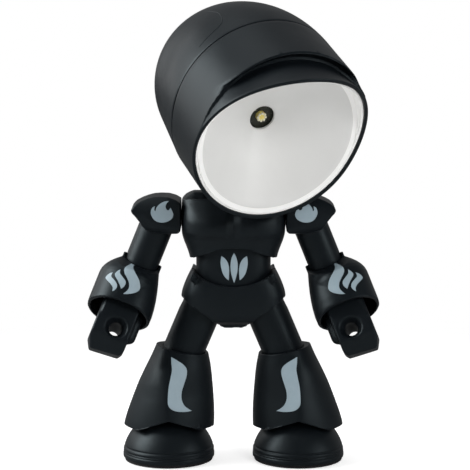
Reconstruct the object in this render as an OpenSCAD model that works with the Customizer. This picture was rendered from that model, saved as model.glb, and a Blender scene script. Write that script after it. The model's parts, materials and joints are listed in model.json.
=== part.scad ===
// Robot shaped desk lamp. Millimetres, +Z up, face towards -Y, soles on Z = 0.
// The pieces are drawn around the point on the floor between the feet, and placed() then moves the
// whole lamp back so that the origin is the middle of its footprint.
// Left and right are as seen by someone who faces the lamp.

/* [Head] */
// Turn of the head to the right at rest, degrees
head_yaw = 24; // [0:1:25]
// Downward pitch of the head at rest, degrees
head_pitch = 24.5; // [18:0.5:25]
// Height of the tilt pin above the floor
tilt_pin_z = 137.4; // [136.6:0.2:139]
// Height of the lamp axis above the tilt pin
axis_rise = 33; // [32.6:0.1:34]
// Outer radius of the helmet at the seam between its shells
helmet_r = 39.7; // [39.2:0.1:40.4]
// Wall of the helmet shells
helmet_wall = 2; // [1.6:0.1:2.4]
// Outer radius of the rim around the face opening
rim_r = 40; // [39.6:0.1:40.6]
// Width of the black edge of the rim
rim_wall = 1.6; // [1.2:0.1:2]
// Depth from the tilt pin forward to the lower rim
rim_reach = 38.2; // [37.4:0.2:39]
// Depth from the tilt pin forward to the shell seam
seam_reach = 12.4; // [12:0.1:13.4]
// Radius of the curve that cuts the brow, seen from the side
brow_curve_r = 86; // [80:1:94]
// Height of the lamp axis above the start of the brow curve
brow_drop = 15.5; // [13:0.1:17]
// Depth from the tilt pin forward to the visor edge
visor_reach = 41.2; // [40.2:0.2:42.2]
// Radius of the crown under the visor edge
crown_r = 39.3; // [38.7:0.1:39.8]
// Height of the crown's centre above the lamp axis
crown_rise = 4.4; // [4:0.1:4.8]
// Depth of the dark recess under the visor edge
visor_recess = 5; // [2:0.5:7]
// Radius of the round back of the helmet
back_r = 36.6; // [36.2:0.1:37.2]
// Depth of that round back's centre behind the tilt pin
back_depth = 11.8; // [11.4:0.2:12.4]
// Gap along the seam between the shells
seam_gap = 0.3; // [0.2:0.05:0.5]

/* [Lamp] */
// Depth of the reflector cone from its mouth to the light hole
cone_depth = 19; // [16:0.5:20]
// Radius of the reflector's mouth
cone_mouth_r = 35.2; // [34:0.1:35.6]
// Radius of the light hole
light_hole_r = 5.75; // [5:0.05:6.5]
// Wall of the reflector
reflector_wall = 1.2; // [1:0.1:1.4]
// Radius of the LED board
board_r = 11; // [9.5:0.5:12]
// Thickness of the LED board
board_t = 1.6; // [1:0.1:2]
// Width across the LED emitter
emitter_w = 4.6; // [3.4:0.1:5]
// Length of the heat sink
sink_l = 10; // [8:0.5:11]
// Number of slots in the heat sink
sink_slots = 5; // [3:1:6]
// Width of a heat sink slot
sink_slot_w = 2; // [1.5:0.1:2.4]

/* [Power] */
// Radius of the rechargeable cell
cell_r = 9.1; // [7:0.1:9.2]
// Length of the rechargeable cell
cell_l = 64; // [50:1:65]
// Depth of the cell behind the tilt pin
cell_depth = 8.2; // [7.8:0.2:9]
// Width of the driver board
driver_w = 26; // [22:1:28]
// Height of the driver board
driver_h = 22; // [20:1:24]
// Depth of the driver board behind the tilt pin
driver_depth = 35.4; // [34.8:0.2:36]
// Width of the charging socket
socket_w = 8; // [7:0.1:9]
// Height of the charging socket
socket_h = 3; // [2.6:0.1:4]
// Drop of the charging socket below the lamp axis
socket_drop = 9; // [8.5:0.1:9.5]
// Radius of the push button
button_r = 4.5; // [3.5:0.1:5]
// Travel of the push button
button_travel = 0.8; // [0.5:0.1:1]

/* [Neck] */
// Radius of the neck shaft
neck_r = 4; // [3:0.1:4.4]
// Radius of the round eye at the top of the neck
neck_eye_r = 7; // [5.5:0.1:7]
// Width of that eye
neck_eye_w = 9; // [7:0.1:9.4]
// Radius of the tilt pin
tilt_pin_r = 2; // [1.5:0.1:2.5]

/* [Torso] */
// Height of the chest top above the floor
chest_top = 120.3; // [119:0.1:120.6]
// Half width of the chest
chest_half = 23.2; // [22:0.1:23.4]
// Half width of the chest at its lower edge
chest_low_half = 19.5; // [18.8:0.1:21]
// Height of the chest's lower edge
chest_low = 94.5; // [93.5:0.1:95.5]
// Depth of the chest in front of the middle
chest_front_depth = 18.3; // [17.5:0.1:19]
// Depth of the chest behind the middle
chest_back_depth = 16.5; // [16:0.1:18]
// Radius of the waist
waist_r = 17; // [16:0.1:17.1]
// Half depth of the waist
waist_half_depth = 12.5; // [11:0.1:12.6]
// Half width of the pelvis at its widest
pelvis_half = 23.3; // [23:0.1:24]
// Half width of the pelvis at its top edge
pelvis_top_half = 18.6; // [18.2:0.1:19.4]
// Height of the pelvis top edge
pelvis_top = 88.7; // [87:0.1:90]
// Height of the widest place of the pelvis
pelvis_wide_z = 76.3; // [75.5:0.1:77]
// Height of the bottom of the pelvis
pelvis_low = 62.2; // [61:0.1:62.8]
// Half depth of the pelvis
pelvis_half_depth = 14.6; // [14.4:0.1:16]

/* [Arms] */
// Distance of each shoulder from the middle
shoulder_x = 33; // [32.5:0.1:34]
// Height of the shoulder axis
shoulder_z = 113; // [112.6:0.1:113.6]
// Outward slope of the arms, degrees
arm_splay = 22; // [18:1:24]
// Forward bend of the elbows at rest, degrees
elbow_rest = 25; // [15:1:27]
// Radius of the upper arm
arm_r = 7.8; // [7:0.1:8]
// Length from the shoulder axis to the elbow
arm_l = 23.2; // [22.5:0.1:25]
// Greatest radius of the gauntlet
gauntlet_r = 13.5; // [13.2:0.1:15]
// Length of the gauntlet at its rear
gauntlet_l = 30.5; // [29:0.1:32]
// Wall of the gauntlet
gauntlet_wall = 1.6; // [1.2:0.1:1.8]
// How far the outer side of the gauntlet bulges beyond a round form
gauntlet_bulge = 2.8; // [1.5:0.1:3]
// Slope of the gauntlet's mouth, degrees
mouth_slope = 13; // [8:1:16]
// Half width of the fist
fist_half_w = 8.6; // [8:0.1:9]
// How far the fist's middle stands outward of the arm's axis
fist_offset = 1.4; // [0:0.1:1.8]
// Half depth of the fist
fist_half_d = 7.4; // [6.6:0.1:7.6]
// Distance from the elbow to the end of the fist
fist_reach = 45.6; // [44:0.1:47]
// Radius of the hole through the fist
fist_hole_r = 2.6; // [2:0.1:3]
// Radius of the wide mouth of that hole
fist_sink_r = 3.8; // [3.2:0.1:4.2]

/* [Shoulder pads] */
// Distance of the pad's inner face from the middle
pad_inner_x = 23.8; // [23.8:0.1:24.4]
// Distance of the pad's outer point from the middle
pad_outer_x = 45.8; // [44.5:0.1:47]
// Half depth of the pad
pad_half_depth = 11; // [10:0.1:11.6]

/* [Legs] */
// Distance of each hip pivot from the middle
hip_x = 13.4; // [13:0.1:13.6]
// Height of the hip axle
hip_z = 73; // [72.6:0.1:73.2]
// Outward slope of the thighs, degrees
thigh_splay = 22.9; // [21:0.1:23.5]
// Radius of the thigh
thigh_r = 9.4; // [8.8:0.1:9.5]
// Distance of each boot top from the middle
boot_top_x = 22.8; // [22.4:0.1:23.2]
// Height of the middle of the boot top
boot_top_z = 51.3; // [50.5:0.1:52]
// Radius of the boot top
boot_top_r = 11.6; // [11.4:0.1:12.4]
// Half width of the boot at its lower edge
boot_low_half = 19.8; // [19.4:0.1:21]
// Height of the boot's lower edge
boot_low_z = 15.4; // [15:0.1:16]
// Rise of the notch in the boot's lower edge
boot_notch = 5.6; // [4:0.1:7]
// Wall of the boot
boot_wall = 1.8; // [1.6:0.1:2]
// Distance of each foot from the middle
foot_x = 29.8; // [29.4:0.1:31]
// Radius of the domed foot
foot_r = 21; // [20.6:0.1:21.4]
// Height of the ankle pivot
ankle_z = 17; // [16.4:0.1:17.4]
// Wall of the foot shell
foot_wall = 2; // [1.6:0.1:2.4]

/* [Joints and fits] */
// Radial running clearance of pins and shafts
run_fit = 0.06; // [0.03:0.01:0.1]
// Gap between pieces that sit against each other
seat_gap = 0.3; // [0.15:0.05:0.35]
// Swing of each hip forwards and backwards, degrees
hip_swing = 10; // [5:1:10]
// Turn of the chest to each side, degrees
torso_turn = 10; // [5:1:10]
// Radius of the shank of the small screws
screw_r = 1.2; // [1:0.1:1.5]
// Radius of the head of the small screws
screw_head_r = 2.3; // [2:0.1:2.5]

/* [Hidden] */

round_fn = 96;
facet_fn = 16;                  // the small spheres that round a hull
over = 1;                       // how far a cutter runs past the face that it cuts
far = 80;                       // longer than any piece of the head
touch = 0.1;                    // gap between flat faces that meet
press = 0.02;                   // radial room of a pressed pin or a cut thread
hole_fit = 0.2;                 // radial room of a screw in its free hole

abs_black = "#23262B";
ornament_white = "#E9EAEC";
emitter_cream = "#F2EFE2";
cell_blue = "#3F6FA8";
board_green = "#1E4A38";
steel = "#B9BDC2";
aluminium = "#C9CCD0";
rubber = "#1B1B1D";

// The middle of the footprint: half way between the brow's front and the back of the helmet.
function brow_y(z) =
  -rim_reach - brow_curve_r + sqrt(pow(brow_curve_r, 2) - pow(max(0, z - axis_rise + brow_drop), 2));
brow_front_y = min([for (a = [60 : 1 : 150]) let (z = axis_rise + rim_r * sin(a))
  rim_r * cos(a) * sin(head_yaw) + (brow_y(z) * cos(head_pitch) - z * sin(head_pitch)) * cos(head_yaw)]);
helmet_back_y = (back_depth * cos(head_pitch) - axis_rise * sin(head_pitch)) * cos(head_yaw) + back_r;
frame_shift = -(brow_front_y + helmet_back_y) / 2;

module placed() translate([0, frame_shift, 0]) children();

// The head's own frame: origin on the tilt pin, -Y out of the face.
module head_frame() placed() translate([0, 0, tilt_pin_z]) rotate([head_pitch, 0, head_yaw]) children();

// A round body along the head's axis direction, from one depth to another.
module along_head(y0, r0, y1, r1, z = axis_rise)
  translate([0, y0, z]) rotate([-90, 0, 0]) cylinder(h = y1 - y0, r1 = r0, r2 = r1, $fn = round_fn);

// A bar along X, centred.
module across(l, r, y = 0, z = 0)
  translate([-l / 2, y, z]) rotate([0, 90, 0]) cylinder(h = l, r = r, $fn = round_fn);

module mirrored(side) mirror([side < 0 ? 1 : 0, 0, 0]) children();

// ---- Screws ----

screw_head_h = 1.8;
cross_l = 2.8;
cross_w = 0.6;

// A small cross-head screw that points down; its head stands on Z = 0.
module screw(shank) {
  translate([0, 0, -shank]) cylinder(h = shank, r = screw_r, $fn = round_fn);
  difference() {
    cylinder(h = screw_head_h, r = screw_head_r, $fn = round_fn);
    for (a = [0, 90]) rotate([0, 0, a])
      translate([-cross_l / 2, -cross_w / 2, screw_head_h / 2]) cube([cross_l, cross_w, screw_head_h]);
  }
}

// The hole for that screw: free below the head's seat, wide enough for the head above it.
module screw_hole(shank) {
  translate([0, 0, -shank]) cylinder(h = shank + over, r = screw_r + hole_fit, $fn = round_fn);
  cylinder(h = far, r = screw_head_r + hole_fit, $fn = round_fn);
}

// ---- Helmet ----

crown_flare = 0.4;              // the crown is this much wider at the seam
crown_seam_r = crown_r + crown_flare;
sleeve_taper = 0.8;
sleeve_back_r = rim_r - sleeve_taper;
brow_reach = -brow_y(axis_rise + rim_r) - rim_reach + over;
// The sides of the rear shell touch its round back at this angle.
seam_to_back = back_depth + seam_reach;
taper_angle = acos(back_r / norm([seam_to_back, helmet_r])) - atan(seam_to_back / helmet_r);
back_steps = 9;
crown_back_drop = 3;
crown_back_y = back_depth + back_r - crown_back_drop;

screw_ring_inset = 8.2;
screw_ring_r = helmet_r - screw_ring_inset;
screw_angles = [35, 145, 215, 325];
screw_head_y = 8;               // depth of the seat of a screw's head
screw_bite = 9;                 // how far a screw goes into the front shell
boss_wall = 1.8;
front_boss_r = screw_r + boss_wall;
front_boss_l = screw_bite + 3;
rear_boss_r = screw_head_r + 1.3;
boss_web_l = 12;
boss_sink = 0.5;                // the bosses end this far inside the outer face
back_sink = 0.25;

// At each screw of the helmet, with +X outwards.
module at_head_screws() for (a = screw_angles)
  translate([0, 0, axis_rise]) rotate([0, -a, 0]) translate([screw_ring_r, 0, 0]) children();

// The front of everything that the brow curve cuts away, set back by a given depth.
module brow_cutter(back = 0) {
  translate([0, back - rim_reach - brow_curve_r, axis_rise - brow_drop])
    rotate([0, 90, 0]) cylinder(h = 2 * far, r = brow_curve_r, center = true, $fn = 2 * round_fn);
  translate([-far, back - rim_reach - 2 * far, axis_rise - brow_drop - 2 * far])
    cube([2 * far, 2 * far, 2 * far]);
}

front_seam_y = -seam_reach - seam_gap / 2;
rear_seam_y = -seam_reach + seam_gap / 2;
crown_z = axis_rise + crown_rise;
recess_y = visor_recess - visor_reach;

module head_front_shell() color(abs_black) head_frame() difference() {
  union() {
    difference() {
      union() {
        along_head(-rim_reach, rim_r, front_seam_y, helmet_r);
        along_head(-visor_reach, crown_r, front_seam_y, crown_seam_r, crown_z);
        along_head(-rim_reach - brow_reach, rim_r, -visor_reach, sleeve_back_r);
        along_head(-visor_reach, sleeve_back_r, -rim_reach, rim_r);
      }
      // room behind the crown
      along_head(recess_y + helmet_wall, crown_r - helmet_wall, 0, crown_seam_r - helmet_wall, crown_z);
      // room behind the helmet wall
      along_head(-rim_reach, rim_r - helmet_wall, 0, helmet_r - helmet_wall);
      // dark recess under the visor edge
      difference() {
        along_head(-visor_reach - over, crown_r - helmet_wall, recess_y, crown_r - helmet_wall, crown_z);
        along_head(-visor_reach - 2 * over, sleeve_back_r, recess_y + over, sleeve_back_r);
      }
    }
    // screw bosses, each with a web to the wall
    intersection() {
      at_head_screws() translate([0, front_seam_y, 0]) rotate([90, 0, 0]) {
        cylinder(h = front_boss_l, r = front_boss_r, $fn = round_fn);
        translate([0, -over, 0]) cube([boss_web_l, 2 * over, front_boss_l - over]);
      }
      union() {
        along_head(-rim_reach, rim_r - boss_sink, 0, helmet_r - boss_sink);
        along_head(recess_y + helmet_wall, crown_r - boss_sink, 0, crown_seam_r - boss_sink, crown_z);
      }
    }
  }
  along_head(-far, rim_r - rim_wall, cone_mouth_y + reflector_wall + touch, rim_r - rim_wall);
  at_head_screws() translate([0, over, 0]) rotate([90, 0, 0])
    cylinder(h = seam_reach + screw_bite + over + seat_gap, r = screw_r + press, $fn = round_fn);
  brow_cutter();
}

button_hole_r = button_r + seat_gap;
post_r = 2;
post_inset = 3;
cradle_foot_w = 4;
cradle_foot_l = 10;
cradle_foot_x = cell_l / 2 - 10;
cradle_z = axis_rise - cell_r - 2;
slot_half = neck_eye_w / 2 + 1.5;
slot_front = 10.6;
slot_back = 8;
slot_rise = 2;                  // the slot for the neck ends this far above the tilt pin

module head_rear_shell() color(abs_black) head_frame() difference() {
  union() {
    difference() {
      helmet_back(0);
      helmet_back(helmet_wall);
    }
    intersection() {
      at_head_screws() translate([0, rear_seam_y, 0]) rotate([-90, 0, 0]) {
        cylinder(h = far, r = rear_boss_r, $fn = round_fn);
        translate([0, -over, 0]) cube([boss_web_l, 2 * over, far]);
      }
      helmet_back(back_sink);
    }
    // posts for the driver board
    intersection() {
      for (x = [-1, 1], z = [-1, 1])
        translate([
          x * (driver_w / 2 - post_inset),
          driver_depth + board_t + seat_gap,
          axis_rise + z * (driver_h / 2 - post_inset)
        ]) rotate([-90, 0, 0]) cylinder(h = far, r = post_r, $fn = round_fn);
      helmet_back(back_sink);
    }
    // feet of the cell cradle
    intersection() {
      for (x = [-1, 1]) translate([x * cradle_foot_x, cell_depth, cradle_z - seat_gap - far])
        translate([-cradle_foot_w / 2, -cradle_foot_l / 2, 0]) cube([cradle_foot_w, cradle_foot_l, far]);
      helmet_back(back_sink);
    }
  }
  at_head_screws() translate([0, screw_head_y, 0]) rotate([-90, 0, 0])
    screw_hole(screw_head_y + seam_reach + over);
  // slot for the neck
  translate([-slot_half, -slot_front, slot_rise - far]) cube([2 * slot_half, slot_back + slot_front, far]);
  // push button and charging socket
  along_head(driver_depth, button_hole_r, far, button_hole_r);
  translate([-socket_w / 2 - hole_fit, driver_depth, socket_z - socket_h / 2 - hole_fit])
    cube([socket_w + 2 * hole_fit, far, socket_h + 2 * hole_fit]);
}

// The rear half of the helmet, drawn in by a wall.
module helmet_back(wall) {
  start = rear_seam_y - (wall > over ? over : 0);
  translate([0, 0, axis_rise]) rotate([-90, 0, 0]) rotate_extrude($fn = round_fn) polygon(concat(
    [[0, start], [helmet_r - wall, start]],
    [for (i = [0 : back_steps]) let (a = taper_angle + (90 - taper_angle) * i / back_steps)
      [i == back_steps ? 0 : (back_r - wall) * cos(a), back_depth + (back_r - wall) * sin(a)]]
  ));
  translate([0, 0, crown_z]) rotate([-90, 0, 0]) rotate_extrude($fn = round_fn) polygon(concat(
    [[0, start]],
    [for (i = [0 : back_steps]) let (a = 90 * i / back_steps)
      [
        i == back_steps ? 0 : (crown_seam_r - wall) * cos(a),
        start + (crown_back_y - wall - start) * sin(a)
      ]]
  ));
}

module head_screws() color(steel) head_frame()
  at_head_screws() translate([0, screw_head_y, 0]) rotate([-90, 0, 0])
    screw(screw_head_y + seam_reach + screw_bite);

// ---- Lamp ----

lip_r = rim_r - rim_wall - touch;
cone_inset = 1.5;               // the cone's mouth stands this far behind the lower rim
lip_inset = 0.8;                // the white lip stands this far behind the black rim
cone_mouth_y = -rim_reach + cone_inset;
cone_throat_y = cone_mouth_y + cone_depth;
lip_front_y = -rim_reach - brow_reach - over;

module reflector() color(ornament_white) head_frame() difference() {
  translate([0, 0, axis_rise]) rotate([-90, 0, 0]) rotate_extrude($fn = round_fn) polygon([
    [lip_r, lip_front_y],
    [lip_r, cone_mouth_y + reflector_wall],
    [cone_mouth_r + reflector_wall / 2, cone_mouth_y + reflector_wall],
    [light_hole_r + reflector_wall / 2, cone_throat_y + reflector_wall],
    [light_hole_r, cone_throat_y + reflector_wall],
    [light_hole_r, cone_throat_y],
    [cone_mouth_r, cone_mouth_y],
    [lip_r - reflector_wall, cone_mouth_y],
    [lip_r - reflector_wall, lip_front_y]
  ]);
  brow_cutter(lip_inset);
}

board_y = cone_throat_y + reflector_wall + touch;
module led_board() color(board_green) head_frame()
  along_head(board_y, board_r, board_y + board_t, board_r);

emitter_h = 1.4;
lens_h = 0.5;
lens_share = 0.33;              // radius of the lens as a share of the emitter's width
module led_emitter() color(emitter_cream) head_frame()
  translate([0, board_y - emitter_h - touch, axis_rise]) rotate([-90, 22.5, 0]) {
    cylinder(h = emitter_h, r = emitter_w / 2, $fn = 8);
    translate([0, 0, -lens_h]) cylinder(h = lens_h, r = emitter_w * lens_share, $fn = round_fn);
  }

sink_rim = 1;                   // the heat sink is this much larger than the board
sink_base = 2.5;
sink_y = board_y + board_t + touch;
module heat_sink() color(aluminium) head_frame() difference() {
  along_head(sink_y, board_r + sink_rim, sink_y + sink_l, board_r + sink_rim);
  for (i = [0 : sink_slots - 1])
    translate([(i - (sink_slots - 1) / 2) * 2 * sink_slot_w - sink_slot_w / 2, sink_y + sink_base, 0])
      cube([sink_slot_w, far, far]);
}

// ---- Power ----

terminal_r = 3;
terminal_h = 0.8;
cradle_end = 6;                 // the cradle stops this far before each end of the cell
module battery_cell() color(cell_blue) head_frame() {
  across(cell_l, cell_r, cell_depth, axis_rise);
  translate([cell_l / 2, cell_depth, axis_rise]) rotate([0, 90, 0])
    cylinder(h = terminal_h, r = terminal_r, $fn = round_fn);
}

module battery_cradle() color(abs_black) head_frame() difference() {
  translate([cradle_end - cell_l / 2, cell_depth - cell_r, cradle_z])
    cube([cell_l - 2 * cradle_end, 2 * cell_r, cell_r]);
  across(2 * far, cell_r + touch, cell_depth, axis_rise);
}

coil_r = 3.4;
coil_h = 4;
chip_size = [5, 1.6, 4];
module driver_board() color(board_green) head_frame() {
  translate([-driver_w / 2, driver_depth, axis_rise - driver_h / 2]) cube([driver_w, board_t, driver_h]);
  // coil and driver chip on the inner face
  translate([-driver_w / 4, driver_depth, axis_rise + coil_h]) rotate([90, 0, 0])
    cylinder(h = coil_h, r = coil_r, $fn = round_fn);
  translate([driver_w / 8, driver_depth - chip_size[1], axis_rise + chip_size[2] / 2]) cube(chip_size);
}

socket_l = 8.6;
socket_wall = 0.5;
socket_base = 3;
socket_z = axis_rise - socket_drop;
socket_y = driver_depth + board_t + touch;
module charging_socket() color(steel) head_frame() difference() {
  translate([-socket_w / 2, socket_y, socket_z - socket_h / 2]) cube([socket_w, socket_l, socket_h]);
  translate([socket_wall - socket_w / 2, socket_y + socket_base, socket_z - socket_h / 2 + socket_wall])
    cube([socket_w - 2 * socket_wall, far, socket_h - 2 * socket_wall]);
}

switch_w = 6;
switch_stem_r = 1.7;
button_flange = 1.2;
button_flange_t = 1.4;
button_proud = 1;               // straight part of the button that stands out of the helmet
button_chamfer = 0.5;
button_stem_y = back_depth + back_r - helmet_wall - 2 * button_flange_t;
module switch_body() color(abs_black) head_frame() {
  translate([-switch_w / 2, socket_y, axis_rise - switch_w / 2])
    cube([switch_w, button_stem_y - socket_y - 2, switch_w]);
  along_head(socket_y + over, switch_stem_r, button_stem_y - button_travel - 1.5 * touch, switch_stem_r);
}

module power_button() color(ornament_white) head_frame() {
  top_y = back_depth + back_r + button_proud;
  flange_r = button_r + button_flange;
  along_head(button_stem_y, flange_r, button_stem_y + button_flange_t, flange_r);
  along_head(button_stem_y, button_r, top_y, button_r);
  along_head(top_y, button_r, top_y + button_chamfer, button_r - button_chamfer);
}

// ---- Neck ----

cheek_t = 3;
cheek_foot = 12;
cheek_in = neck_eye_w / 2 + seat_gap;
cheek_out = cheek_in + cheek_t;
module head_cradle() color(abs_black) head_frame() difference() {
  intersection() {
    union() for (side = [-1, 1]) mirrored(side) {
      translate([cheek_in, 0, 0]) rotate([0, 90, 0]) cylinder(h = cheek_t, r = neck_eye_r, $fn = round_fn);
      translate([cheek_in, -neck_eye_r, -far]) cube([cheek_t, 2 * neck_eye_r, far]);
      translate([cheek_in, -neck_eye_r, -far]) cube([cheek_foot, 2 * neck_eye_r, far - over]);
    }
    helmet_back(helmet_wall + seat_gap);
  }
  across(2 * far, tilt_pin_r + press);
}

module tilt_pin() color(steel) head_frame() across(2 * cheek_out, tilt_pin_r);

collar_z = chest_top + seat_gap;
collar_h = 1.2;
collar_flange = 2.4;
neck_below = 13.3;              // the neck reaches this far below the chest top
clip_above = 1.4;               // and its clip groove lies this far above its end
clip_groove_h = 1;
clip_groove_t = 0.8;
clip_t = 0.8;
neck_low = chest_top - neck_below;
clip_z = neck_low + clip_above;
module neck_knuckle() color(abs_black) placed() difference() {
  union() {
    translate([0, 0, tilt_pin_z]) rotate([0, 0, head_yaw]) across(neck_eye_w, neck_eye_r);
    translate([0, 0, neck_low]) cylinder(h = tilt_pin_z - neck_low - 3, r = neck_r, $fn = round_fn);
    translate([0, 0, collar_z]) cylinder(h = collar_h, r = neck_r + collar_flange, $fn = round_fn);
  }
  translate([0, 0, tilt_pin_z]) rotate([0, 0, head_yaw]) across(2 * far, tilt_pin_r + run_fit);
  translate([0, 0, clip_z]) difference() {
    cylinder(h = clip_groove_h, r = neck_r + over, $fn = round_fn);
    translate([0, 0, -over])
      cylinder(h = clip_groove_h + 2 * over, r = neck_r - clip_groove_t, $fn = round_fn);
  }
}

bush_wall = 1.5;
bush_flange = 2.6;
bush_z = clip_z + 1.4;
module neck_bush() color(steel) placed() difference() {
  union() {
    translate([0, 0, bush_z]) cylinder(h = chest_top - bush_z, r = neck_r + bush_wall, $fn = round_fn);
    translate([0, 0, chest_top - bush_flange])
      cylinder(h = bush_flange, r = neck_r + bush_flange, $fn = round_fn);
  }
  cylinder(h = 2 * far, r = neck_r + run_fit, $fn = round_fn);
}

clip_mouth = 2.4;
module neck_clip() color(steel) placed() translate([0, 0, clip_z + touch]) difference() {
  cylinder(h = clip_t, r = neck_r + 2 * clip_t, $fn = round_fn);
  translate([0, 0, -over])
    cylinder(h = clip_t + 2 * over, r = neck_r - clip_groove_t + touch / 2, $fn = round_fn);
  translate([-clip_mouth / 2, 0, -over]) cube([clip_mouth, 2 * neck_r, clip_t + 2 * over]);
}

// ---- Chest ----

chest_round = 1.6;
chest_high = 9.3;               // the chest stands out furthest this far below its top
chest_fold = 14.3;              // and draws in from here to the waist
// Corners of half the chest: share of the half width, share of the depth, height.
chest_corners = [
  [0, 0.55, chest_top], [0.5, 0.55, chest_top], [0.92, 0.42, chest_top], [0.97, 0, chest_top],
  [0, 0.82, chest_top - 0.84 * chest_high], [0.38, 1, chest_top - 1.05 * chest_high],
  [0.8, 0.9, chest_top - chest_high], [1, 0.42, chest_top - chest_high],
  [1, 0, chest_top - 0.8 * chest_high],
  [1, 0.42, chest_top - 1.03 * chest_fold], [1, 0, chest_top - 1.03 * chest_fold],
  [0, 0.86, chest_top - chest_fold], [0.4, 0.98, chest_top - chest_fold], [0.78, 0.9, chest_top - chest_fold]
];
chest_low_corners = [[0, 0.84], [0.62, 0.86], [1, 0.3], [1, 0]];

// One half of the chest, rounded between a few small spheres at its corners.
module chest_half_form(front = true) {
  deep = front ? chest_front_depth : chest_back_depth;
  corners = concat(
    [for (c = chest_corners) [c[0] * chest_half, c[1] * deep, c[2] - (c[2] == chest_top ? chest_round : 0)]],
    [for (c = chest_low_corners) [c[0] * chest_low_half, c[1] * deep, chest_low + chest_round]],
    [[0, 0, chest_low + chest_round], [0, 0, chest_top - chest_round]]
  );
  hull() for (p = corners)
    translate([max(p[0] - chest_round, 0), (front ? -1 : 1) * max(p[1] - chest_round, 0), p[2]])
      sphere(r = chest_round, $fn = facet_fn);
}

module chest_form(front) {
  chest_half_form(front);
  mirror([1, 0, 0]) chest_half_form(front);
}

chest_wall = 2;
frame_half = 14;
frame_front = 9.3;
frame_back = 8.3;
cavity_side_depth = 5;
cavity_h = 14;
frame_high = chest_top - chest_wall - seat_gap;
chest_cavity_half = chest_half - 3;
chest_cavity_low_half = waist_r + seat_gap + 0.05;
waist_overlap = 6.5;            // the waist reaches this far up into the chest
waist_top = chest_low + waist_overlap;
swept_half_depth = waist_r * sin(asin(waist_half_depth / waist_r) + torso_turn) + seat_gap;
arch_r = 29;
arch_rise = 5.4;
axle_r = 2.5;
axle_in = 9;
stud_r = 5;
stud_bite = 5.2;

// The hollow of the chest: a turned room for the waist below, a squared one for the frame above.
module chest_hollow() {
  intersection() {
    translate([0, 0, chest_low - over])
      cylinder(h = waist_overlap + seat_gap + over, r = chest_cavity_low_half, $fn = round_fn);
    translate([-far, -swept_half_depth, 0]) cube([2 * far, 2 * swept_half_depth, 2 * far]);
  }
  translate([-frame_half - seat_gap, -frame_front - seat_gap, waist_top - 2 * touch])
    cube([
      2 * (frame_half + seat_gap),
      frame_front + frame_back + 2 * seat_gap,
      chest_top - chest_wall - waist_top + 2 * touch
    ]);
  translate([-chest_cavity_half, -cavity_side_depth, waist_top + chest_wall])
    cube([2 * chest_cavity_half, 2 * cavity_side_depth, cavity_h]);
  // arch of the lower edge
  translate([0, 0, chest_low + arch_rise - arch_r]) rotate([90, 0, 0])
    cylinder(h = 2 * far, r = arch_r, center = true, $fn = 2 * round_fn);
  // neck bush and shoulder axles
  translate([0, 0, chest_top - 6]) cylinder(h = 12, r = neck_r + bush_flange + seat_gap, $fn = round_fn);
  across(2 * far, axle_r + seat_gap, 0, shoulder_z);
}

chest_screw_x = 17.6;
chest_screw_z = chest_low + 9.7;
chest_screw_seat = 10;          // depth of the head's seat behind the seam
chest_screw_bite = 8;
module chest_screw_places() for (x = [-1, 1]) translate([x * chest_screw_x, 0, chest_screw_z]) children();

module chest_front() color(abs_black) placed() difference() {
  union() {
    difference() {
      chest_form(true);
      chest_hollow();
    }
    chest_screw_places() rotate([90, 0, 0]) translate([0, 0, seam_gap / 2])
      cylinder(h = chest_front_depth * 0.75, r = screw_r + 1.6, $fn = round_fn);
  }
  translate([-far, -seam_gap / 2, -over]) cube([2 * far, far, 2 * far]);
  chest_screw_places() rotate([90, 0, 0]) cylinder(h = chest_screw_bite + over, r = screw_r, $fn = round_fn);
}

module chest_back() color(abs_black) placed() difference() {
  union() {
    difference() {
      chest_form(false);
      chest_hollow();
    }
    chest_screw_places() rotate([-90, 0, 0]) translate([0, 0, seam_gap / 2])
      cylinder(h = chest_back_depth * 0.8, r = screw_head_r + 0.9, $fn = round_fn);
  }
  translate([-far, seam_gap / 2 - far, -over]) cube([2 * far, far, 2 * far]);
  chest_screw_places() rotate([-90, 0, 0]) translate([0, 0, chest_screw_seat]) screw_hole(chest_screw_seat);
}

module chest_screws() color(steel) placed()
  chest_screw_places() rotate([-90, 0, 0]) translate([0, 0, chest_screw_seat])
    screw(chest_screw_seat + chest_screw_bite);

module torso_frame() color(abs_black) placed() difference() {
  translate([-frame_half, -frame_front, waist_top + seat_gap])
    cube([2 * frame_half, frame_front + frame_back, frame_high - waist_top - seat_gap]);
  translate([0, 0, neck_low - 2 * seat_gap])
    cylinder(h = far, r = neck_r + bush_wall + hole_fit, $fn = round_fn);
  translate([0, 0, chest_top - bush_flange - 2 * hole_fit])
    cylinder(h = far, r = neck_r + bush_flange + hole_fit, $fn = round_fn);
  translate([0, 0, waist_top - over]) cylinder(h = stud_bite + over, r = stud_r + run_fit, $fn = round_fn);
  across(2 * far, axle_r + press, 0, shoulder_z);
}

module shoulder_axles() color(steel) placed() for (side = [-1, 1]) mirrored(side)
  translate([axle_in, 0, shoulder_z]) rotate([0, 90, 0])
    cylinder(h = shoulder_x - axle_in, r = axle_r, $fn = round_fn);

// ---- Waist and pelvis ----

waist_sink = 6.7;               // the waist goes this far down into the pelvis
waist_low = pelvis_top - waist_sink;
module waist_core() color(abs_black) placed() difference() {
  intersection() {
    translate([0, 0, waist_low]) cylinder(h = waist_top - waist_low, r = waist_r, $fn = round_fn);
    translate([-far, -waist_half_depth, 0]) cube([2 * far, 2 * waist_half_depth, 2 * far]);
  }
  translate([0, 0, waist_low - over]) cylinder(h = far, r = stud_r + press, $fn = round_fn);
}

module waist_stud() color(steel) placed() translate([0, 0, waist_low + 2 * touch])
  cylinder(h = waist_top - waist_low + stud_bite - 4 * touch, r = stud_r, $fn = round_fn);

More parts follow.
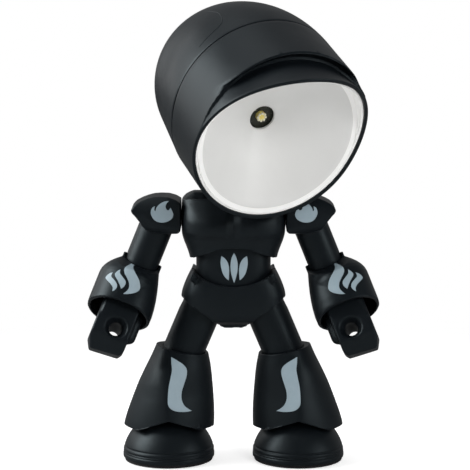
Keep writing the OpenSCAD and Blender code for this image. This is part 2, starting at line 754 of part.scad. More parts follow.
pelvis_dip = 6.4;
pelvis_dip_r = (pow(pelvis_top_half, 2) + pow(pelvis_dip, 2)) / (2 * pelvis_dip);
pelvis_edge = 1;
pelvis_side_room = 0.8;
pelvis_curve_rise = 19.1;       // the front curves in towards the bottom about a line this far above it
pelvis_curve_room = 6;
// The crotch: shares of the half width and of the height up to the widest place.
pelvis_crotch = [[0.708, 0.66], [0.425, 0.369], [0.348, 0.22], [0.262, 0.128], [0.172, 0]];
pelvis_side = concat(
  [
    [pelvis_top_half, pelvis_top], [pelvis_half, pelvis_wide_z],
    [pelvis_half - pelvis_edge, pelvis_wide_z - pelvis_edge]
  ],
  [for (p = pelvis_crotch) [p[0] * pelvis_half, pelvis_low + p[1] * (pelvis_wide_z - pelvis_low)]]
);
pelvis_last = len(pelvis_side) - 1;
module pelvis_outline() polygon(concat(
  pelvis_side,
  [for (i = [pelvis_last : -1 : 0]) [-pelvis_side[i][0], pelvis_side[i][1]]]
));

module pelvis_form() difference() {
  intersection() {
    rotate([90, 0, 0]) linear_extrude(height = 2 * pelvis_half_depth, center = true) pelvis_outline();
    translate([0, 0, pelvis_low]) cylinder(h = far, r = pelvis_half + pelvis_side_room, $fn = round_fn);
    // the front and back curve in towards the bottom
    across(2 * far, pelvis_half_depth + pelvis_curve_room, 0, pelvis_low + pelvis_curve_rise);
  }
  // U-shaped top edge
  translate([0, 0, pelvis_top - pelvis_dip + pelvis_dip_r]) rotate([90, 0, 0])
    cylinder(h = 2 * far, r = pelvis_dip_r, center = true, $fn = 2 * round_fn);
  // pocket for the waist
  intersection() {
    translate([0, 0, waist_low - touch]) cylinder(h = far, r = waist_r + touch, $fn = round_fn);
    translate([-far, -waist_half_depth - touch, 0]) cube([2 * far, 2 * (waist_half_depth + touch), 2 * far]);
  }
  // room for the thighs over their swing
  for (side = [-1, 1]) mirrored(side) hip_turn() intersection() {
    translate([0, 0, -far]) cylinder(h = far + thigh_room_top, r = thigh_room_r, $fn = round_fn);
    translate([-thigh_r - seat_gap, -far, -far]) cube([2 * (thigh_r + seat_gap), 2 * far, 2 * far]);
  }
  across(2 * (hip_x + hip_axle_past), hip_pin_r + press, 0, hip_z);
}

thigh_head = 3.4;
thigh_room_depth = 13;
hip_pin_r = 2;
hip_axle_past = 7;              // the axle ends this far outward of the hip's middle
thigh_room_r = thigh_r / cos(hip_swing) + thigh_room_depth * tan(hip_swing) + seat_gap;
thigh_room_top = thigh_head * cos(hip_swing) + thigh_r * sin(hip_swing) + seat_gap;
module hip_turn() translate([hip_x, 0, hip_z]) rotate([0, -thigh_splay, 0]) children();

// One screw between the hip axle and the waist's pocket.
pelvis_screw_z = (hip_z + hip_pin_r + waist_low) / 2;
pelvis_screw_seat = 10;
pelvis_screw_bite = 7;
module pelvis_screw_place() translate([0, 0, pelvis_screw_z]) children();

module pelvis_front() color(abs_black) placed() difference() {
  pelvis_form();
  translate([-far, -seam_gap / 2, -over]) cube([2 * far, far, 2 * far]);
  pelvis_screw_place() rotate([90, 0, 0]) cylinder(h = pelvis_screw_bite + over, r = screw_r, $fn = round_fn);
}

module pelvis_back() color(abs_black) placed() difference() {
  pelvis_form();
  translate([-far, seam_gap / 2 - far, -over]) cube([2 * far, far, 2 * far]);
  pelvis_screw_place() rotate([-90, 0, 0]) translate([0, 0, pelvis_screw_seat]) screw_hole(pelvis_screw_seat);
}

module pelvis_screws() color(steel) placed()
  pelvis_screw_place() rotate([-90, 0, 0]) translate([0, 0, pelvis_screw_seat])
    screw(pelvis_screw_seat + pelvis_screw_bite);

module hip_axle() color(steel) placed() across(2 * (hip_x + hip_axle_past), hip_pin_r, 0, hip_z);

// ---- Arms ----

module arm_frame(side) placed() mirrored(side) translate([shoulder_x, 0, shoulder_z])
  rotate([0, -arm_splay, 0]) children();
module elbow_frame(side) arm_frame(side) translate([0, 0, -arm_l]) rotate([-elbow_rest, 0, 0]) children();

pad_rise = 9.4;                 // height of the pad above the shoulder axis
pad_drop = 7.4;                 // and its depth below it
pad_shoulder = 2.4;             // the round top starts this far above the axis
pad_bevel = 1.2;
pad_tip = 3.6;
pad_top = shoulder_z + pad_rise;
pad_low = shoulder_z - pad_drop;
pad_arc_x = pad_inner_x + pad_rise;
pad_arc_z = shoulder_z + pad_shoulder;
module pad_outline() polygon(concat(
  [
    [pad_inner_x, pad_low + pad_bevel], [pad_inner_x, pad_top - 1.3 * pad_bevel],
    [pad_inner_x + 1.7 * pad_bevel, pad_top - 0.4 * pad_bevel]
  ],
  [for (a = [90 : -15 : 15])
    [pad_arc_x + (pad_outer_x - pad_arc_x) * cos(a), pad_arc_z + (pad_top - pad_arc_z) * sin(a)]],
  [
    [pad_outer_x, pad_arc_z - touch], [pad_outer_x - pad_tip, pad_low + pad_tip],
    [pad_outer_x - 1.5 * pad_tip, pad_low + 0.5 * pad_tip],
    [pad_outer_x - 2.7 * pad_tip, pad_low + 0.1 * pad_tip],
    [pad_inner_x + 2 * pad_tip, pad_low - 0.1 * pad_tip], [pad_inner_x + pad_bevel, pad_low]
  ]
));

pad_barrel_r = 12.4;
pad_barrel_rise = 1;
pad_barrel_in = 0.8;
pad_barrel_out = -2.4;
arm_socket = 5.5;
module shoulder_pad(side) color(abs_black) difference() {
  placed() mirrored(side) intersection() {
    rotate([90, 0, 0]) linear_extrude(height = 2 * pad_half_depth, center = true) pad_outline();
    translate([pad_inner_x - over, 0, shoulder_z + pad_barrel_rise]) rotate([0, 90, 0]) cylinder(
      h = pad_outer_x - pad_inner_x + 2 * over,
      r1 = pad_barrel_r + pad_barrel_in, r2 = pad_barrel_r + pad_barrel_out, $fn = round_fn);
  }
  placed() mirrored(side) translate([pad_inner_x - over, 0, shoulder_z]) rotate([0, 90, 0])
    cylinder(h = shoulder_x - pad_inner_x + over + seat_gap, r = axle_r + run_fit, $fn = round_fn);
  arm_frame(side) translate([0, 0, -far])
    cylinder(h = far - arm_socket, r = arm_r + touch / 2, $fn = round_fn);
}

module upper_arm(side) color(abs_black) arm_frame(side) difference() {
  union() {
    translate([0, 0, -arm_l]) cylinder(h = arm_l - arm_socket - 2 * touch, r = arm_r, $fn = round_fn);
    translate([0, 0, -arm_l]) sphere(r = arm_r, $fn = round_fn);
  }
  translate([0, 0, -arm_l]) across(2 * far, elbow_pin_r + run_fit);
}

elbow_pin_r = 1.5;
elbow_pin_bite = 0.5;
elbow_room = 0.3;
module elbow_pin(side) color(steel) arm_frame(side) translate([0, 0, -arm_l])
  across(2 * (arm_r + elbow_room + elbow_pin_bite), elbow_pin_r);

mouth_drop = 7.1;               // the front of the gauntlet's mouth stands this far above its rear
mouth_lip = 1.2;
mouth_lip_start = 0.8;          // share of the length where the lip starts to draw in
gauntlet_top_wall = 0.7;
gauntlet_step = 0.125;
gauntlet_top_r = arm_r + gauntlet_top_wall;
elbow_open = 1.2;               // the gauntlet is open above this depth below the elbow
ear_t = 1.1;
ear_wall = 0.8;
elbow_most_bend = elbow_rest + 10;
wrist_web = 13;                 // depth of the web that carries the wrist
web_share = 0.425;
peg_r = 2.5;
peg_end = 27;
function gauntlet_radius(t) = gauntlet_top_r + (gauntlet_r - gauntlet_top_r) * sin(90 * min(1, t * 1.2));
// The outer side swells faster below the elbow.
swell_start = 0.12;
swell_end = 0.5;
function swell_radius(t) = gauntlet_r * sin(90 * min(1, (t + swell_start) / swell_end));
function lip_share(t) = max(0, t - mouth_lip_start) / (1 - mouth_lip_start);

// Outer shape of the gauntlet; its axis runs down from the elbow.
module gauntlet_form() rotate([180, 0, 0]) {
  rotate_extrude($fn = round_fn) polygon(concat(
    [[0, 0]],
    [for (t = [0 : gauntlet_step : 1])
      [gauntlet_radius(t) - mouth_lip * pow(lip_share(t), 2), t * gauntlet_l]],
    [[0, gauntlet_l]]
  ));
  translate([gauntlet_bulge, 0, 0]) rotate_extrude($fn = round_fn) polygon(concat(
    [[0, 0]],
    [for (t = [0 : gauntlet_step / 2 : 1])
      [swell_radius(t) - mouth_lip * pow(lip_share(t), 2), t * gauntlet_l]],
    [[0, gauntlet_l]]
  ));
}

// Its hollow below the web that carries the wrist.
module gauntlet_hollow() rotate([180, 0, 0]) rotate_extrude($fn = round_fn) polygon(concat(
  [[0, wrist_web]],
  [for (t = [web_share : gauntlet_step : mouth_lip_start])
    [gauntlet_radius(t) - gauntlet_wall, max(wrist_web, t * gauntlet_l)]],
  [[gauntlet_r - gauntlet_wall, gauntlet_l + over], [0, gauntlet_l + over]]
));

// The two ears beside the arm that hold the ends of the elbow pin.
module elbow_ears() for (x = [-1, 1]) translate([x * (arm_r + elbow_room + ear_t / 2), 0, 0]) {
  rotate([0, 90, 0]) cylinder(h = ear_t, r = elbow_pin_r + ear_wall, center = true, $fn = round_fn);
  translate([-ear_t / 2, -elbow_pin_r - ear_wall, -elbow_open - over])
    cube([ear_t, 2 * (elbow_pin_r + ear_wall), elbow_open + over]);
}

module gauntlet(side) color(abs_black) elbow_frame(side) difference() {
  union() {
    difference() {
      gauntlet_form();
      translate([0, 0, -elbow_open]) cylinder(h = far, r = far / 2, $fn = round_fn);
    }
    elbow_ears();
  }
  gauntlet_hollow();
  translate([gauntlet_bulge, 0, 0]) gauntlet_hollow();
  sphere(r = arm_r + elbow_room, $fn = round_fn);
  cylinder(h = far, r = arm_r + elbow_room, $fn = round_fn);
  // room for the arm at the front when the elbow is bent
  rotate([elbow_most_bend, 0, 0]) translate([-far / 2, -far - elbow_pin_r - 2 * ear_wall, 0]) cube(far);
  // sloping mouth, longer at the rear
  translate([0, 0, mouth_drop / 2 - gauntlet_l]) rotate([-mouth_slope, 0, 0])
    translate([-far / 2, -far / 2, -far]) cube([far, far, far]);
  across(2 * (arm_r + elbow_room + elbow_pin_bite + 2 * touch), elbow_pin_r + press);
  translate([0, 0, -wrist_web - over]) cylinder(h = far, r = peg_r + press, $fn = round_fn);
}

// The wrist peg is pressed in the gauntlet's web, and the fist turns on it.
module wrist_peg(side) color(steel) elbow_frame(side) translate([0, 0, -peg_end])
  cylinder(h = peg_end - arm_r - elbow_room - 4 * touch, r = peg_r, $fn = round_fn);

fist_top = wrist_web + seat_gap;
fist_collar = 30;
fist_collar_h = 3;
fist_collar_w = 1.6;
fist_neck_r = gauntlet_r - gauntlet_wall - 2 * seat_gap;
fist_side_bevel = [2.2, 5];     // width and height of the bevels along the bottom
fist_inner_bevel = [1.4, 2.4];
fist_slope = 1.2;               // the outer end of the bottom lies this much lower
fist_back_bevel = [4, 5];
fist_front_bevel = [4.5, 6.5];
hole_depth = 34.7;              // distance of the fist's hole from the elbow
sink_depth = 2;
thumb_r = 3.1;
thumb_back = 3;
thumb_low = 11;
thumb_l = 10;
thumb_tip_h = 3;
thumb_tip_r = 0.9;

module fist_front_outline() polygon([
  [-fist_half_w, -fist_top], [fist_half_w, -fist_top],
  [fist_half_w, fist_side_bevel[1] - fist_slope - fist_reach],
  [fist_half_w - fist_side_bevel[0], -fist_slope - fist_reach],
  [fist_inner_bevel[0] - fist_half_w, -fist_reach], [-fist_half_w, fist_inner_bevel[1] - fist_reach]
]);
module fist_side_outline() polygon([
  [-fist_half_d, -fist_top], [fist_half_d, -fist_top],
  [fist_half_d, fist_back_bevel[1] - fist_reach],
  [fist_half_d - fist_back_bevel[0], -fist_slope - fist_reach],
  [fist_front_bevel[0] - fist_half_d, -fist_slope - fist_reach],
  [-fist_half_d, fist_front_bevel[1] - fist_reach]
]);
module fist_turned_outline() polygon([
  [0, fist_top], [fist_neck_r - 3, fist_top], [fist_neck_r, fist_top + 5], [fist_neck_r, fist_collar],
  [fist_neck_r + fist_collar_w, fist_collar + fist_collar_h],
  [fist_neck_r + fist_collar_w, fist_reach + fist_slope + over], [0, fist_reach + fist_slope + over]
]);

module hand(side) color(abs_black) elbow_frame(side) difference() {
  union() {
    // fist, turned where it fits in the gauntlet and bevelled along the bottom
    intersection() {
      rotate([180, 0, 0]) rotate_extrude($fn = round_fn) fist_turned_outline();
      translate([fist_offset, 0, 0]) rotate([90, 0, 0])
        linear_extrude(height = far, center = true) fist_front_outline();
      rotate([90, 0, 90]) linear_extrude(height = far, center = true) fist_side_outline();
    }
    // thumb, set back on the inner side
    translate([fist_offset - fist_half_w, thumb_back, thumb_low - fist_reach]) {
      cylinder(h = thumb_l, r = thumb_r, $fn = round_fn);
      sphere(r = thumb_r, $fn = round_fn);
      translate([0, 0, thumb_l]) cylinder(h = thumb_tip_h, r1 = thumb_r, r2 = thumb_tip_r, $fn = round_fn);
    }
  }
  translate([0, 0, -hole_depth]) rotate([90, 0, 0])
    cylinder(h = far, r = fist_hole_r, center = true, $fn = round_fn);
  translate([0, sink_depth - fist_half_d, -hole_depth]) rotate([90, 0, 0])
    cylinder(h = far, r = fist_sink_r, $fn = round_fn);
  translate([0, 0, -peg_end - 2 * seat_gap]) cylinder(h = far, r = peg_r + run_fit, $fn = round_fn);
}

// ---- Legs ----

thigh_l = (hip_z - boot_top_z) / cos(thigh_splay);
thigh_sink = 8;                 // the thigh goes this far into the boot

module thigh(side) color(abs_black) difference() {
  placed() mirrored(side) hip_turn() translate([0, 0, -thigh_l - thigh_sink])
    cylinder(h = thigh_l + thigh_sink + thigh_head, r = thigh_r, $fn = round_fn);
  placed() across(4 * hip_x, hip_pin_r + run_fit, 0, hip_z);
}

boot_inset = 0.6;               // the boot's middle stands this far inward of the foot's
ankle_x = foot_x - boot_inset;
boot_lean = atan((ankle_x - boot_top_x) / (boot_top_z - boot_low_z));
boot_round = 1.6;
boot_ring_h = 0.6;
boot_front = 19;                // depths of the lower edge from the leg's middle
boot_back = 17;
boot_corner_y = 12.4;
boot_corner_share = 0.8;
boot_socket_wall = 0.4;
boot_web_z = 27;
// The skirt of the boot: a round top that spreads to eight corners, the front one sharpest.
module boot_skirt(wall, low) {
  w = boot_low_half - boot_round - wall;
  c = boot_corner_share * w;
  corners = [
    [0, boot_round + wall - boot_front], [c, wall - boot_corner_y], [w, 0], [c, boot_corner_y - wall],
    [0, boot_back - boot_round - wall], [-c, boot_corner_y - wall], [-w, 0], [-c, wall - boot_corner_y]
  ];
  hull() {
    translate([boot_top_x, 0, boot_top_z]) rotate([0, -boot_lean, 0])
      translate([0, 0, -boot_ring_h]) cylinder(h = boot_ring_h, r = boot_top_r - wall, $fn = 2 * facet_fn);
    for (p = corners) translate([ankle_x + p[0], p[1], low + boot_round]) sphere(r = boot_round, $fn = 12);
  }
}

notch_half = 16;
notch_from = 6;                 // the notch is cut in front of and behind this depth
stud_seat_r = 3;
stud_seat_l = 6;
module boot(side) color(abs_black) placed() mirrored(side) difference() {
  union() {
    difference() {
      boot_skirt(0, boot_low_z);
      boot_skirt(boot_wall, boot_low_z - 5);
    }
    // floor of the thigh socket
    intersection() {
      boot_skirt(boot_socket_wall, boot_low_z);
      translate([0, 0, boot_web_z]) cylinder(h = boot_top_z - boot_web_z + 4, r = far, $fn = round_fn);
    }
  }
  // notch at the front and back of the lower edge
  for (y = [-far, notch_from]) translate([ankle_x, y, boot_low_z]) rotate([-90, 0, 0])
    linear_extrude(height = far - notch_from) polygon([
      [-notch_half, over], [notch_half, over], [notch_half, 0], [0, -boot_notch], [-notch_half, 0]
    ]);
  // thigh socket
  hip_turn() translate([0, 0, -thigh_l - thigh_sink - 2 * touch])
    cylinder(h = far, r = thigh_r + touch, $fn = round_fn);
  // ankle stud
  translate([ankle_x, 0, 0]) cylinder(h = boot_web_z + stud_seat_l, r = stud_seat_r + press, $fn = round_fn);
}

ankle_eye_r = 4.6;
ankle_eye_w = 7;
ankle_pin_r = 1.5;
ankle_pin_l = 16;
module at_ankle(l) translate([ankle_x - l / 2, 0, ankle_z]) rotate([0, 90, 0]) children();

module ankle_stud(side) color(steel) placed() mirrored(side) difference() {
  union() {
    translate([ankle_x, 0, ankle_z])
      cylinder(h = boot_web_z + stud_seat_l - 2 * touch - ankle_z, r = stud_seat_r, $fn = round_fn);
    at_ankle(ankle_eye_w) cylinder(h = ankle_eye_w, r = ankle_eye_r, $fn = round_fn);
  }
  at_ankle(far) cylinder(h = far, r = ankle_pin_r + run_fit, $fn = round_fn);
}

sole_t = 1.4;
sole_inset = 0.8;
foot_band = 4.4;                // height of the upright band around the foot
foot_h = 21.5;
foot_rise = foot_h - foot_band;
foot_room_h = 9;                // height of the hollow for the weight
foot_groove_z = 3.3;
foot_groove_h = 0.6;
foot_groove_t = 0.5;
ballast_h = 7.2;
ballast_room = 0.3;
dome_r = (pow(foot_r, 2) + pow(foot_rise, 2)) / (2 * foot_rise);

module foot(side) color(abs_black) placed() mirrored(side) difference() {
  translate([foot_x, 0, 0]) difference() {
    union() {
      intersection() {
        translate([0, 0, foot_h - dome_r]) sphere(r = dome_r, $fn = round_fn);
        translate([0, 0, foot_band]) cylinder(h = far, r = far, $fn = round_fn);
      }
      translate([0, 0, sole_t]) cylinder(h = foot_band - sole_t, r = foot_r, $fn = round_fn);
    }
    // hollow for the weight
    translate([0, 0, sole_t - over])
      cylinder(h = foot_room_h - sole_t + over, r = foot_r - foot_wall, $fn = round_fn);
    // thin groove above the lower edge
    translate([0, 0, foot_groove_z]) difference() {
      cylinder(h = foot_groove_h, r = foot_r + over, $fn = round_fn);
      translate([0, 0, -over])
        cylinder(h = foot_groove_h + 2 * over, r = foot_r - foot_groove_t, $fn = round_fn);
    }
  }
  // ankle socket, open at the top
  translate([ankle_x - ankle_eye_w / 2 - seat_gap, -ankle_eye_r - seat_gap, ankle_z - ankle_eye_r - seat_gap])
    cube([ankle_eye_w + 2 * seat_gap, 2 * (ankle_eye_r + seat_gap), far]);
  at_ankle(ankle_pin_l) cylinder(h = ankle_pin_l, r = ankle_pin_r + press, $fn = round_fn);
}

module ankle_pin(side) color(steel) placed() mirrored(side)
  at_ankle(ankle_pin_l) cylinder(h = ankle_pin_l, r = ankle_pin_r, $fn = round_fn);

module ballast(side) color(steel) placed() mirrored(side) translate([foot_x, 0, sole_t + touch])
  cylinder(h = ballast_h, r = foot_r - foot_wall - ballast_room, $fn = round_fn);

module sole(side) color(rubber) placed() mirrored(side) translate([foot_x, 0, 0])
  cylinder(h = sole_t, r = foot_r - sole_inset, $fn = round_fn);

head_front_shell();
head_rear_shell();
reflector();
led_board();
led_emitter();
heat_sink();
battery_cell();
battery_cradle();
driver_board();
charging_socket();
switch_body();
power_button();
head_screws();
head_cradle();
tilt_pin();
neck_knuckle();
neck_bush();
neck_clip();
chest_front();
chest_back();
torso_frame();
shoulder_axles();
chest_screws();
waist_core();
waist_stud();
pelvis_front();
pelvis_back();
hip_axle();
pelvis_screws();
shoulder_pad(-1);  // shoulder_pad_left
shoulder_pad(1);  // shoulder_pad_right
upper_arm(-1);  // upper_arm_left
upper_arm(1);  // upper_arm_right
gauntlet(-1);  // gauntlet_left
gauntlet(1);  // gauntlet_right
elbow_pin(-1);  // elbow_pin_left
elbow_pin(1);  // elbow_pin_right
wrist_peg(-1);  // wrist_peg_left
wrist_peg(1);  // wrist_peg_right
hand(-1);  // hand_left
hand(1);  // hand_right
thigh(-1);  // thigh_left
thigh(1);  // thigh_right
boot(-1);  // boot_left
boot(1);  // boot_right
ankle_stud(-1);  // ankle_stud_left
ankle_stud(1);  // ankle_stud_right
foot(-1);  // foot_left
foot(1);  // foot_right
ankle_pin(-1);  // ankle_pin_left
ankle_pin(1);  // ankle_pin_right
ballast(-1);  // ballast_left
ballast(1);  // ballast_right
sole(-1);  // sole_left
sole(1);  // sole_right
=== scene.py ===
import json
import math
import bpy
import bmesh
import numpy as np
from mathutils import Matrix, Vector
from mathutils.bvhtree import BVHTree
from mathutils.geometry import delaunay_2d_cdt


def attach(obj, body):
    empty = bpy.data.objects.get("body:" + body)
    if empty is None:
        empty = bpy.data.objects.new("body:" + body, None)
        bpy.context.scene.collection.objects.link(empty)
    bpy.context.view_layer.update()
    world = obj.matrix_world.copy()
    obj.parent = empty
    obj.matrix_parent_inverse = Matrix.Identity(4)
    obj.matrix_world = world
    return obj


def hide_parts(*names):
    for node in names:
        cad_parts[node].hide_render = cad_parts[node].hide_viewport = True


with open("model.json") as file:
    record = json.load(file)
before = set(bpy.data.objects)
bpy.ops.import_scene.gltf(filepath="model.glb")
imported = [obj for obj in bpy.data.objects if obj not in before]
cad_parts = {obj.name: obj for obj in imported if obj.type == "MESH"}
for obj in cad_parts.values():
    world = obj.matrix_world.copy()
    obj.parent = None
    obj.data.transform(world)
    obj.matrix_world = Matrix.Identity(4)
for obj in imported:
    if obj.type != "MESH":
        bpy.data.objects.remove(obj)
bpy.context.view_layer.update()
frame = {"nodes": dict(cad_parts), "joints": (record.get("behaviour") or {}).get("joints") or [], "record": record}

mm = 0.001
nodes = frame["nodes"]
joints = {j["name"]: j for j in frame["joints"]}

# Frames of the lamp, in millimetres.
tiltPos = [v / mm for v in joints["head_tilt"]["pos_m"]]
lamp = {
    "shift": tiltPos[1], "yaw": 24.0, "pitch": 24.5, "axisRise": 33.0,
    "shoulderX": 33.0, "shoulderZ": 113.0, "armSplay": 22.0, "armLength": 23.2, "elbowBend": 25.0,
}


def turn(degrees, axis):
    return Matrix.Rotation(math.radians(degrees), 4, axis)


def move(x, y, z):
    return Matrix.Translation((x, y, z))


def mirrorX(side):
    return Matrix.Scale(-1, 4, (1, 0, 0)) if side < 0 else Matrix.Identity(4)


placed = move(0, lamp["shift"], 0)
headFrame = move(*tiltPos) @ turn(lamp["yaw"], "Z") @ turn(lamp["pitch"], "X")
lampFrame = headFrame @ move(0, 0, lamp["axisRise"])        # -Y out of the face, on the lamp's axis


def armFrame(side):
    return placed @ mirrorX(side) @ move(lamp["shoulderX"], 0, lamp["shoulderZ"]) @ turn(-lamp["armSplay"], "Y")


def elbowFrame(side):
    return armFrame(side) @ move(0, 0, -lamp["armLength"]) @ turn(-lamp["elbowBend"], "X")


def linear(hexColour):
    raw = [int(hexColour[i:i + 2], 16) / 255 for i in (1, 3, 5)]
    return [c / 12.92 if c <= 0.04045 else ((c + 0.055) / 1.055) ** 2.4 for c in raw] + [1.0]


# A node with its settings, its inputs' values and its links.
def addNode(tree, kind, links=None, **settings):
    node = tree.nodes.new(kind)
    inputs = settings.pop("inputs", {})
    for name, value in settings.items():
        setattr(node, name, value)
    for name, value in inputs.items():
        node.inputs[name].default_value = value
    for name, source in (links or {}).items():
        tree.links.new(source, node.inputs[name])
    return node


def newMaterial(name):
    material = bpy.data.materials.new(name)
    material.use_nodes = True
    tree = material.node_tree
    tree.nodes.clear()
    shader = addNode(tree, "ShaderNodeBsdfPrincipled")
    output = addNode(tree, "ShaderNodeOutputMaterial", {"Surface": shader.outputs[0]})
    return material, tree, shader, output


# A moulded, painted or plated finish: two colours mottled together, a grain of so many millimetres and a
# roughness that wanders a little. Real grain is finer than grainMm, which is as coarse as it needs to be to show.
def finishMaterial(name, look):
    material, tree, shader, _ = newMaterial(name)
    place = addNode(tree, "ShaderNodeTexCoord").outputs["Object"]
    patches = addNode(tree, "ShaderNodeTexNoise", {"Vector": place},
                      inputs={"Scale": 1000 / look["patchMm"], "Detail": 3.0, "Roughness": 0.55})
    grain = addNode(tree, "ShaderNodeTexNoise", {"Vector": place},
                    inputs={"Scale": 1000 / look["grainMm"], "Detail": 2.0, "Roughness": 0.6})
    colour = addNode(tree, "ShaderNodeMix", {"Factor": patches.outputs["Fac"]}, data_type="RGBA")
    colour.inputs["A"].default_value = linear(look["colours"][0])
    colour.inputs["B"].default_value = linear(look["colours"][1])
    rough = addNode(tree, "ShaderNodeMapRange", {"Value": patches.outputs["Fac"]},
                    inputs={"From Min": 0.3, "From Max": 0.7,
                            "To Min": look["rough"][0], "To Max": look["rough"][1]})
    bump = addNode(tree, "ShaderNodeBump", {"Height": grain.outputs["Fac"]},
                   inputs={"Strength": look["bump"], "Distance": look["grainMm"] * mm * 0.1})
    tree.links.new(colour.outputs["Result"], shader.inputs["Base Color"])
    tree.links.new(rough.outputs["Result"], shader.inputs["Roughness"])
    tree.links.new(bump.outputs["Normal"], shader.inputs["Normal"])
    shader.inputs["Metallic"].default_value = look.get("metal", 0.0)
    if not look.get("metal"):
        shader.inputs["IOR"].default_value = look.get("ior", 1.5)
        shader.inputs["Specular IOR Level"].default_value = look.get("sheen", 0.5)
        shader.inputs["Specular Tint"].default_value = linear(look.get("tint", "#FFFFFF"))
    # A glow above zero is painted light: the surface shines in its paler colour with no lamp on it.
    shader.inputs["Emission Color"].default_value = linear(look["colours"][1])
    shader.inputs["Emission Strength"].default_value = look.get("glow", 0.0)
    return material


blackAbs = finishMaterial("satinBlackAbs", {            # ABS from a finely blasted mould: a wide soft sheen
    "colours": ["#0E1216", "#13171B"], "patchMm": 14, "grainMm": 0.5, "rough": (0.38, 0.46), "bump": 0.15,
    "ior": 1.5, "sheen": 0.38, "tint": "#DDF0F6"})
whiteAbs = finishMaterial("whiteReflectorAbs", {        # smooth white ABS: it scatters the light evenly
    "colours": ["#E2E2E0", "#E8E8E6"], "patchMm": 12, "grainMm": 0.6, "rough": (0.30, 0.38), "bump": 0.05,
    "ior": 1.52})
paintedGlowLip = finishMaterial("paintedLightWhiteLip", {      # the thin rim lets some light through; its paler colour and faint glow are painted light for that
    "colours": ["#F4F4F2", "#F8F8F6"], "patchMm": 12, "grainMm": 0.6, "rough": (0.34, 0.42), "bump": 0.03,
    "ior": 1.52, "glow": 0.1})
silverPaint = finishMaterial("padPrintedSilverGrey", {  # thin pad-printed paint: matt and a little uneven
    "colours": ["#96A9B3", "#A2B4BD"], "patchMm": 2.5, "grainMm": 0.3, "rough": (0.38, 0.5), "bump": 0.12})
zincSteel = finishMaterial("zincPlatedSteel", {         # bright zinc: pale, with soft broken gleams
    "colours": ["#B4B8BC", "#C6C9CC"], "patchMm": 2, "grainMm": 0.2, "rough": (0.28, 0.42), "bump": 0.1,
    "metal": 1.0})
castIron = finishMaterial("castIron", {                 # the skin of a sand casting: dark, rough and dull
    "colours": ["#3B3B3D", "#4A4A4C"], "patchMm": 3, "grainMm": 0.4, "rough": (0.55, 0.7), "bump": 0.4,
    "metal": 1.0})
aluminium = finishMaterial("extrudedAluminium", {       # pressed through a die: pale grey with a smooth sheen
    "colours": ["#C6C8CB", "#D3D5D7"], "patchMm": 4, "grainMm": 0.25, "rough": (0.3, 0.42), "bump": 0.1,
    "metal": 1.0})
boardGreen = finishMaterial("greenSolderMask", {        # lacquer over glass fibre: deep green and fairly glossy
    "colours": ["#17402F", "#1E4F3A"], "patchMm": 3, "grainMm": 0.3, "rough": (0.3, 0.4), "bump": 0.1})
boardDark = finishMaterial("darkOliveSolderMask", {      # glossy mask over copper, nearly black in the hole
    "colours": ["#2E302A", "#3C3E35"], "patchMm": 1.8, "grainMm": 0.3, "rough": (0.2, 0.3), "bump": 0.1})
ledPads = finishMaterial("creamCeramic", {               # the pale base that frames the chip
    "colours": ["#E9E4C4", "#F1EDD6"], "patchMm": 0.9, "grainMm": 0.2, "rough": (0.3, 0.4), "bump": 0.1})
solderTin = finishMaterial("solderTin", {               # melted and set: small bright points
    "colours": ["#D9DADC", "#E6E7E8"], "patchMm": 0.8, "grainMm": 0.2, "rough": (0.15, 0.25), "bump": 0.1,
    "metal": 1.0})
cellWrap = finishMaterial("bluePvcSleeve", {            # shrunk film: glossy and even
    "colours": ["#2F5F9A", "#3669A8"], "patchMm": 6, "grainMm": 0.5, "rough": (0.22, 0.3), "bump": 0.05})
blackSteel = finishMaterial("blackenedSteel", {         # dark oxide that keeps a dull gleam
    "colours": ["#1B1C1E", "#232426"], "patchMm": 2, "grainMm": 0.2, "rough": (0.4, 0.5), "bump": 0.1,
    "metal": 1.0})
softRubber = finishMaterial("blackRubber", {            # moulded rubber: grey-black with hardly a gleam
    "colours": ["#161618", "#1F1F21"], "patchMm": 5, "grainMm": 0.3, "rough": (0.7, 0.85), "bump": 0.3})
ledPhosphor = finishMaterial("phosphorSilicone", {      # phosphor in clear silicone: a soft warm yellow
    "colours": ["#E9D46A", "#F2E08A"], "patchMm": 1.6, "grainMm": 0.3, "rough": (0.25, 0.35), "bump": 0.1})

nodeFinish = {
    "led_board": boardDark, "led_emitter": ledPhosphor, "heat_sink": aluminium, "battery_cell": cellWrap,
    "driver_board": boardGreen, "charging_socket": zincSteel, "head_screws": zincSteel,
    "tilt_pin": zincSteel, "neck_bush": zincSteel, "neck_clip": zincSteel, "shoulder_axles": blackSteel,
    "chest_screws": zincSteel, "waist_stud": zincSteel, "hip_axle": zincSteel, "pelvis_screws": zincSteel,
    "elbow_pin": blackSteel, "wrist_peg": zincSteel, "ankle_stud": zincSteel, "ankle_pin": zincSteel,
    "ballast": castIron, "sole": softRubber, "reflector": whiteAbs, "power_button": whiteAbs,
}
for name, node in nodes.items():
    plain = name.removesuffix("_left").removesuffix("_right")
    node.data.materials.clear()
    node.data.materials.append(nodeFinish.get(plain, blackAbs))
print("materials:", len(bpy.data.materials))


def link(obj):
    bpy.context.scene.collection.objects.link(obj)
    return obj


# Merges doubles and turns the faces of a closed mesh outwards.
def closeUp(mesh):
    work = bmesh.new()
    work.from_mesh(mesh)
    bmesh.ops.remove_doubles(work, verts=work.verts, dist=0.002 * mm)
    if work.calc_volume(signed=True) < 0:
        bmesh.ops.reverse_faces(work, faces=work.faces)
    work.to_mesh(mesh)
    work.free()


def makePiece(name, points, faces, place=None, material=None):
    place = place or Matrix.Identity(4)
    mesh = bpy.data.meshes.new(name)
    mesh.from_pydata([(place @ Vector(p)) * mm for p in points], [], faces)
    mesh.update()
    closeUp(mesh)
    mesh.materials.append(material or blackAbs)
    obj = link(bpy.data.objects.new(name, mesh))
    smooth(obj)
    return obj


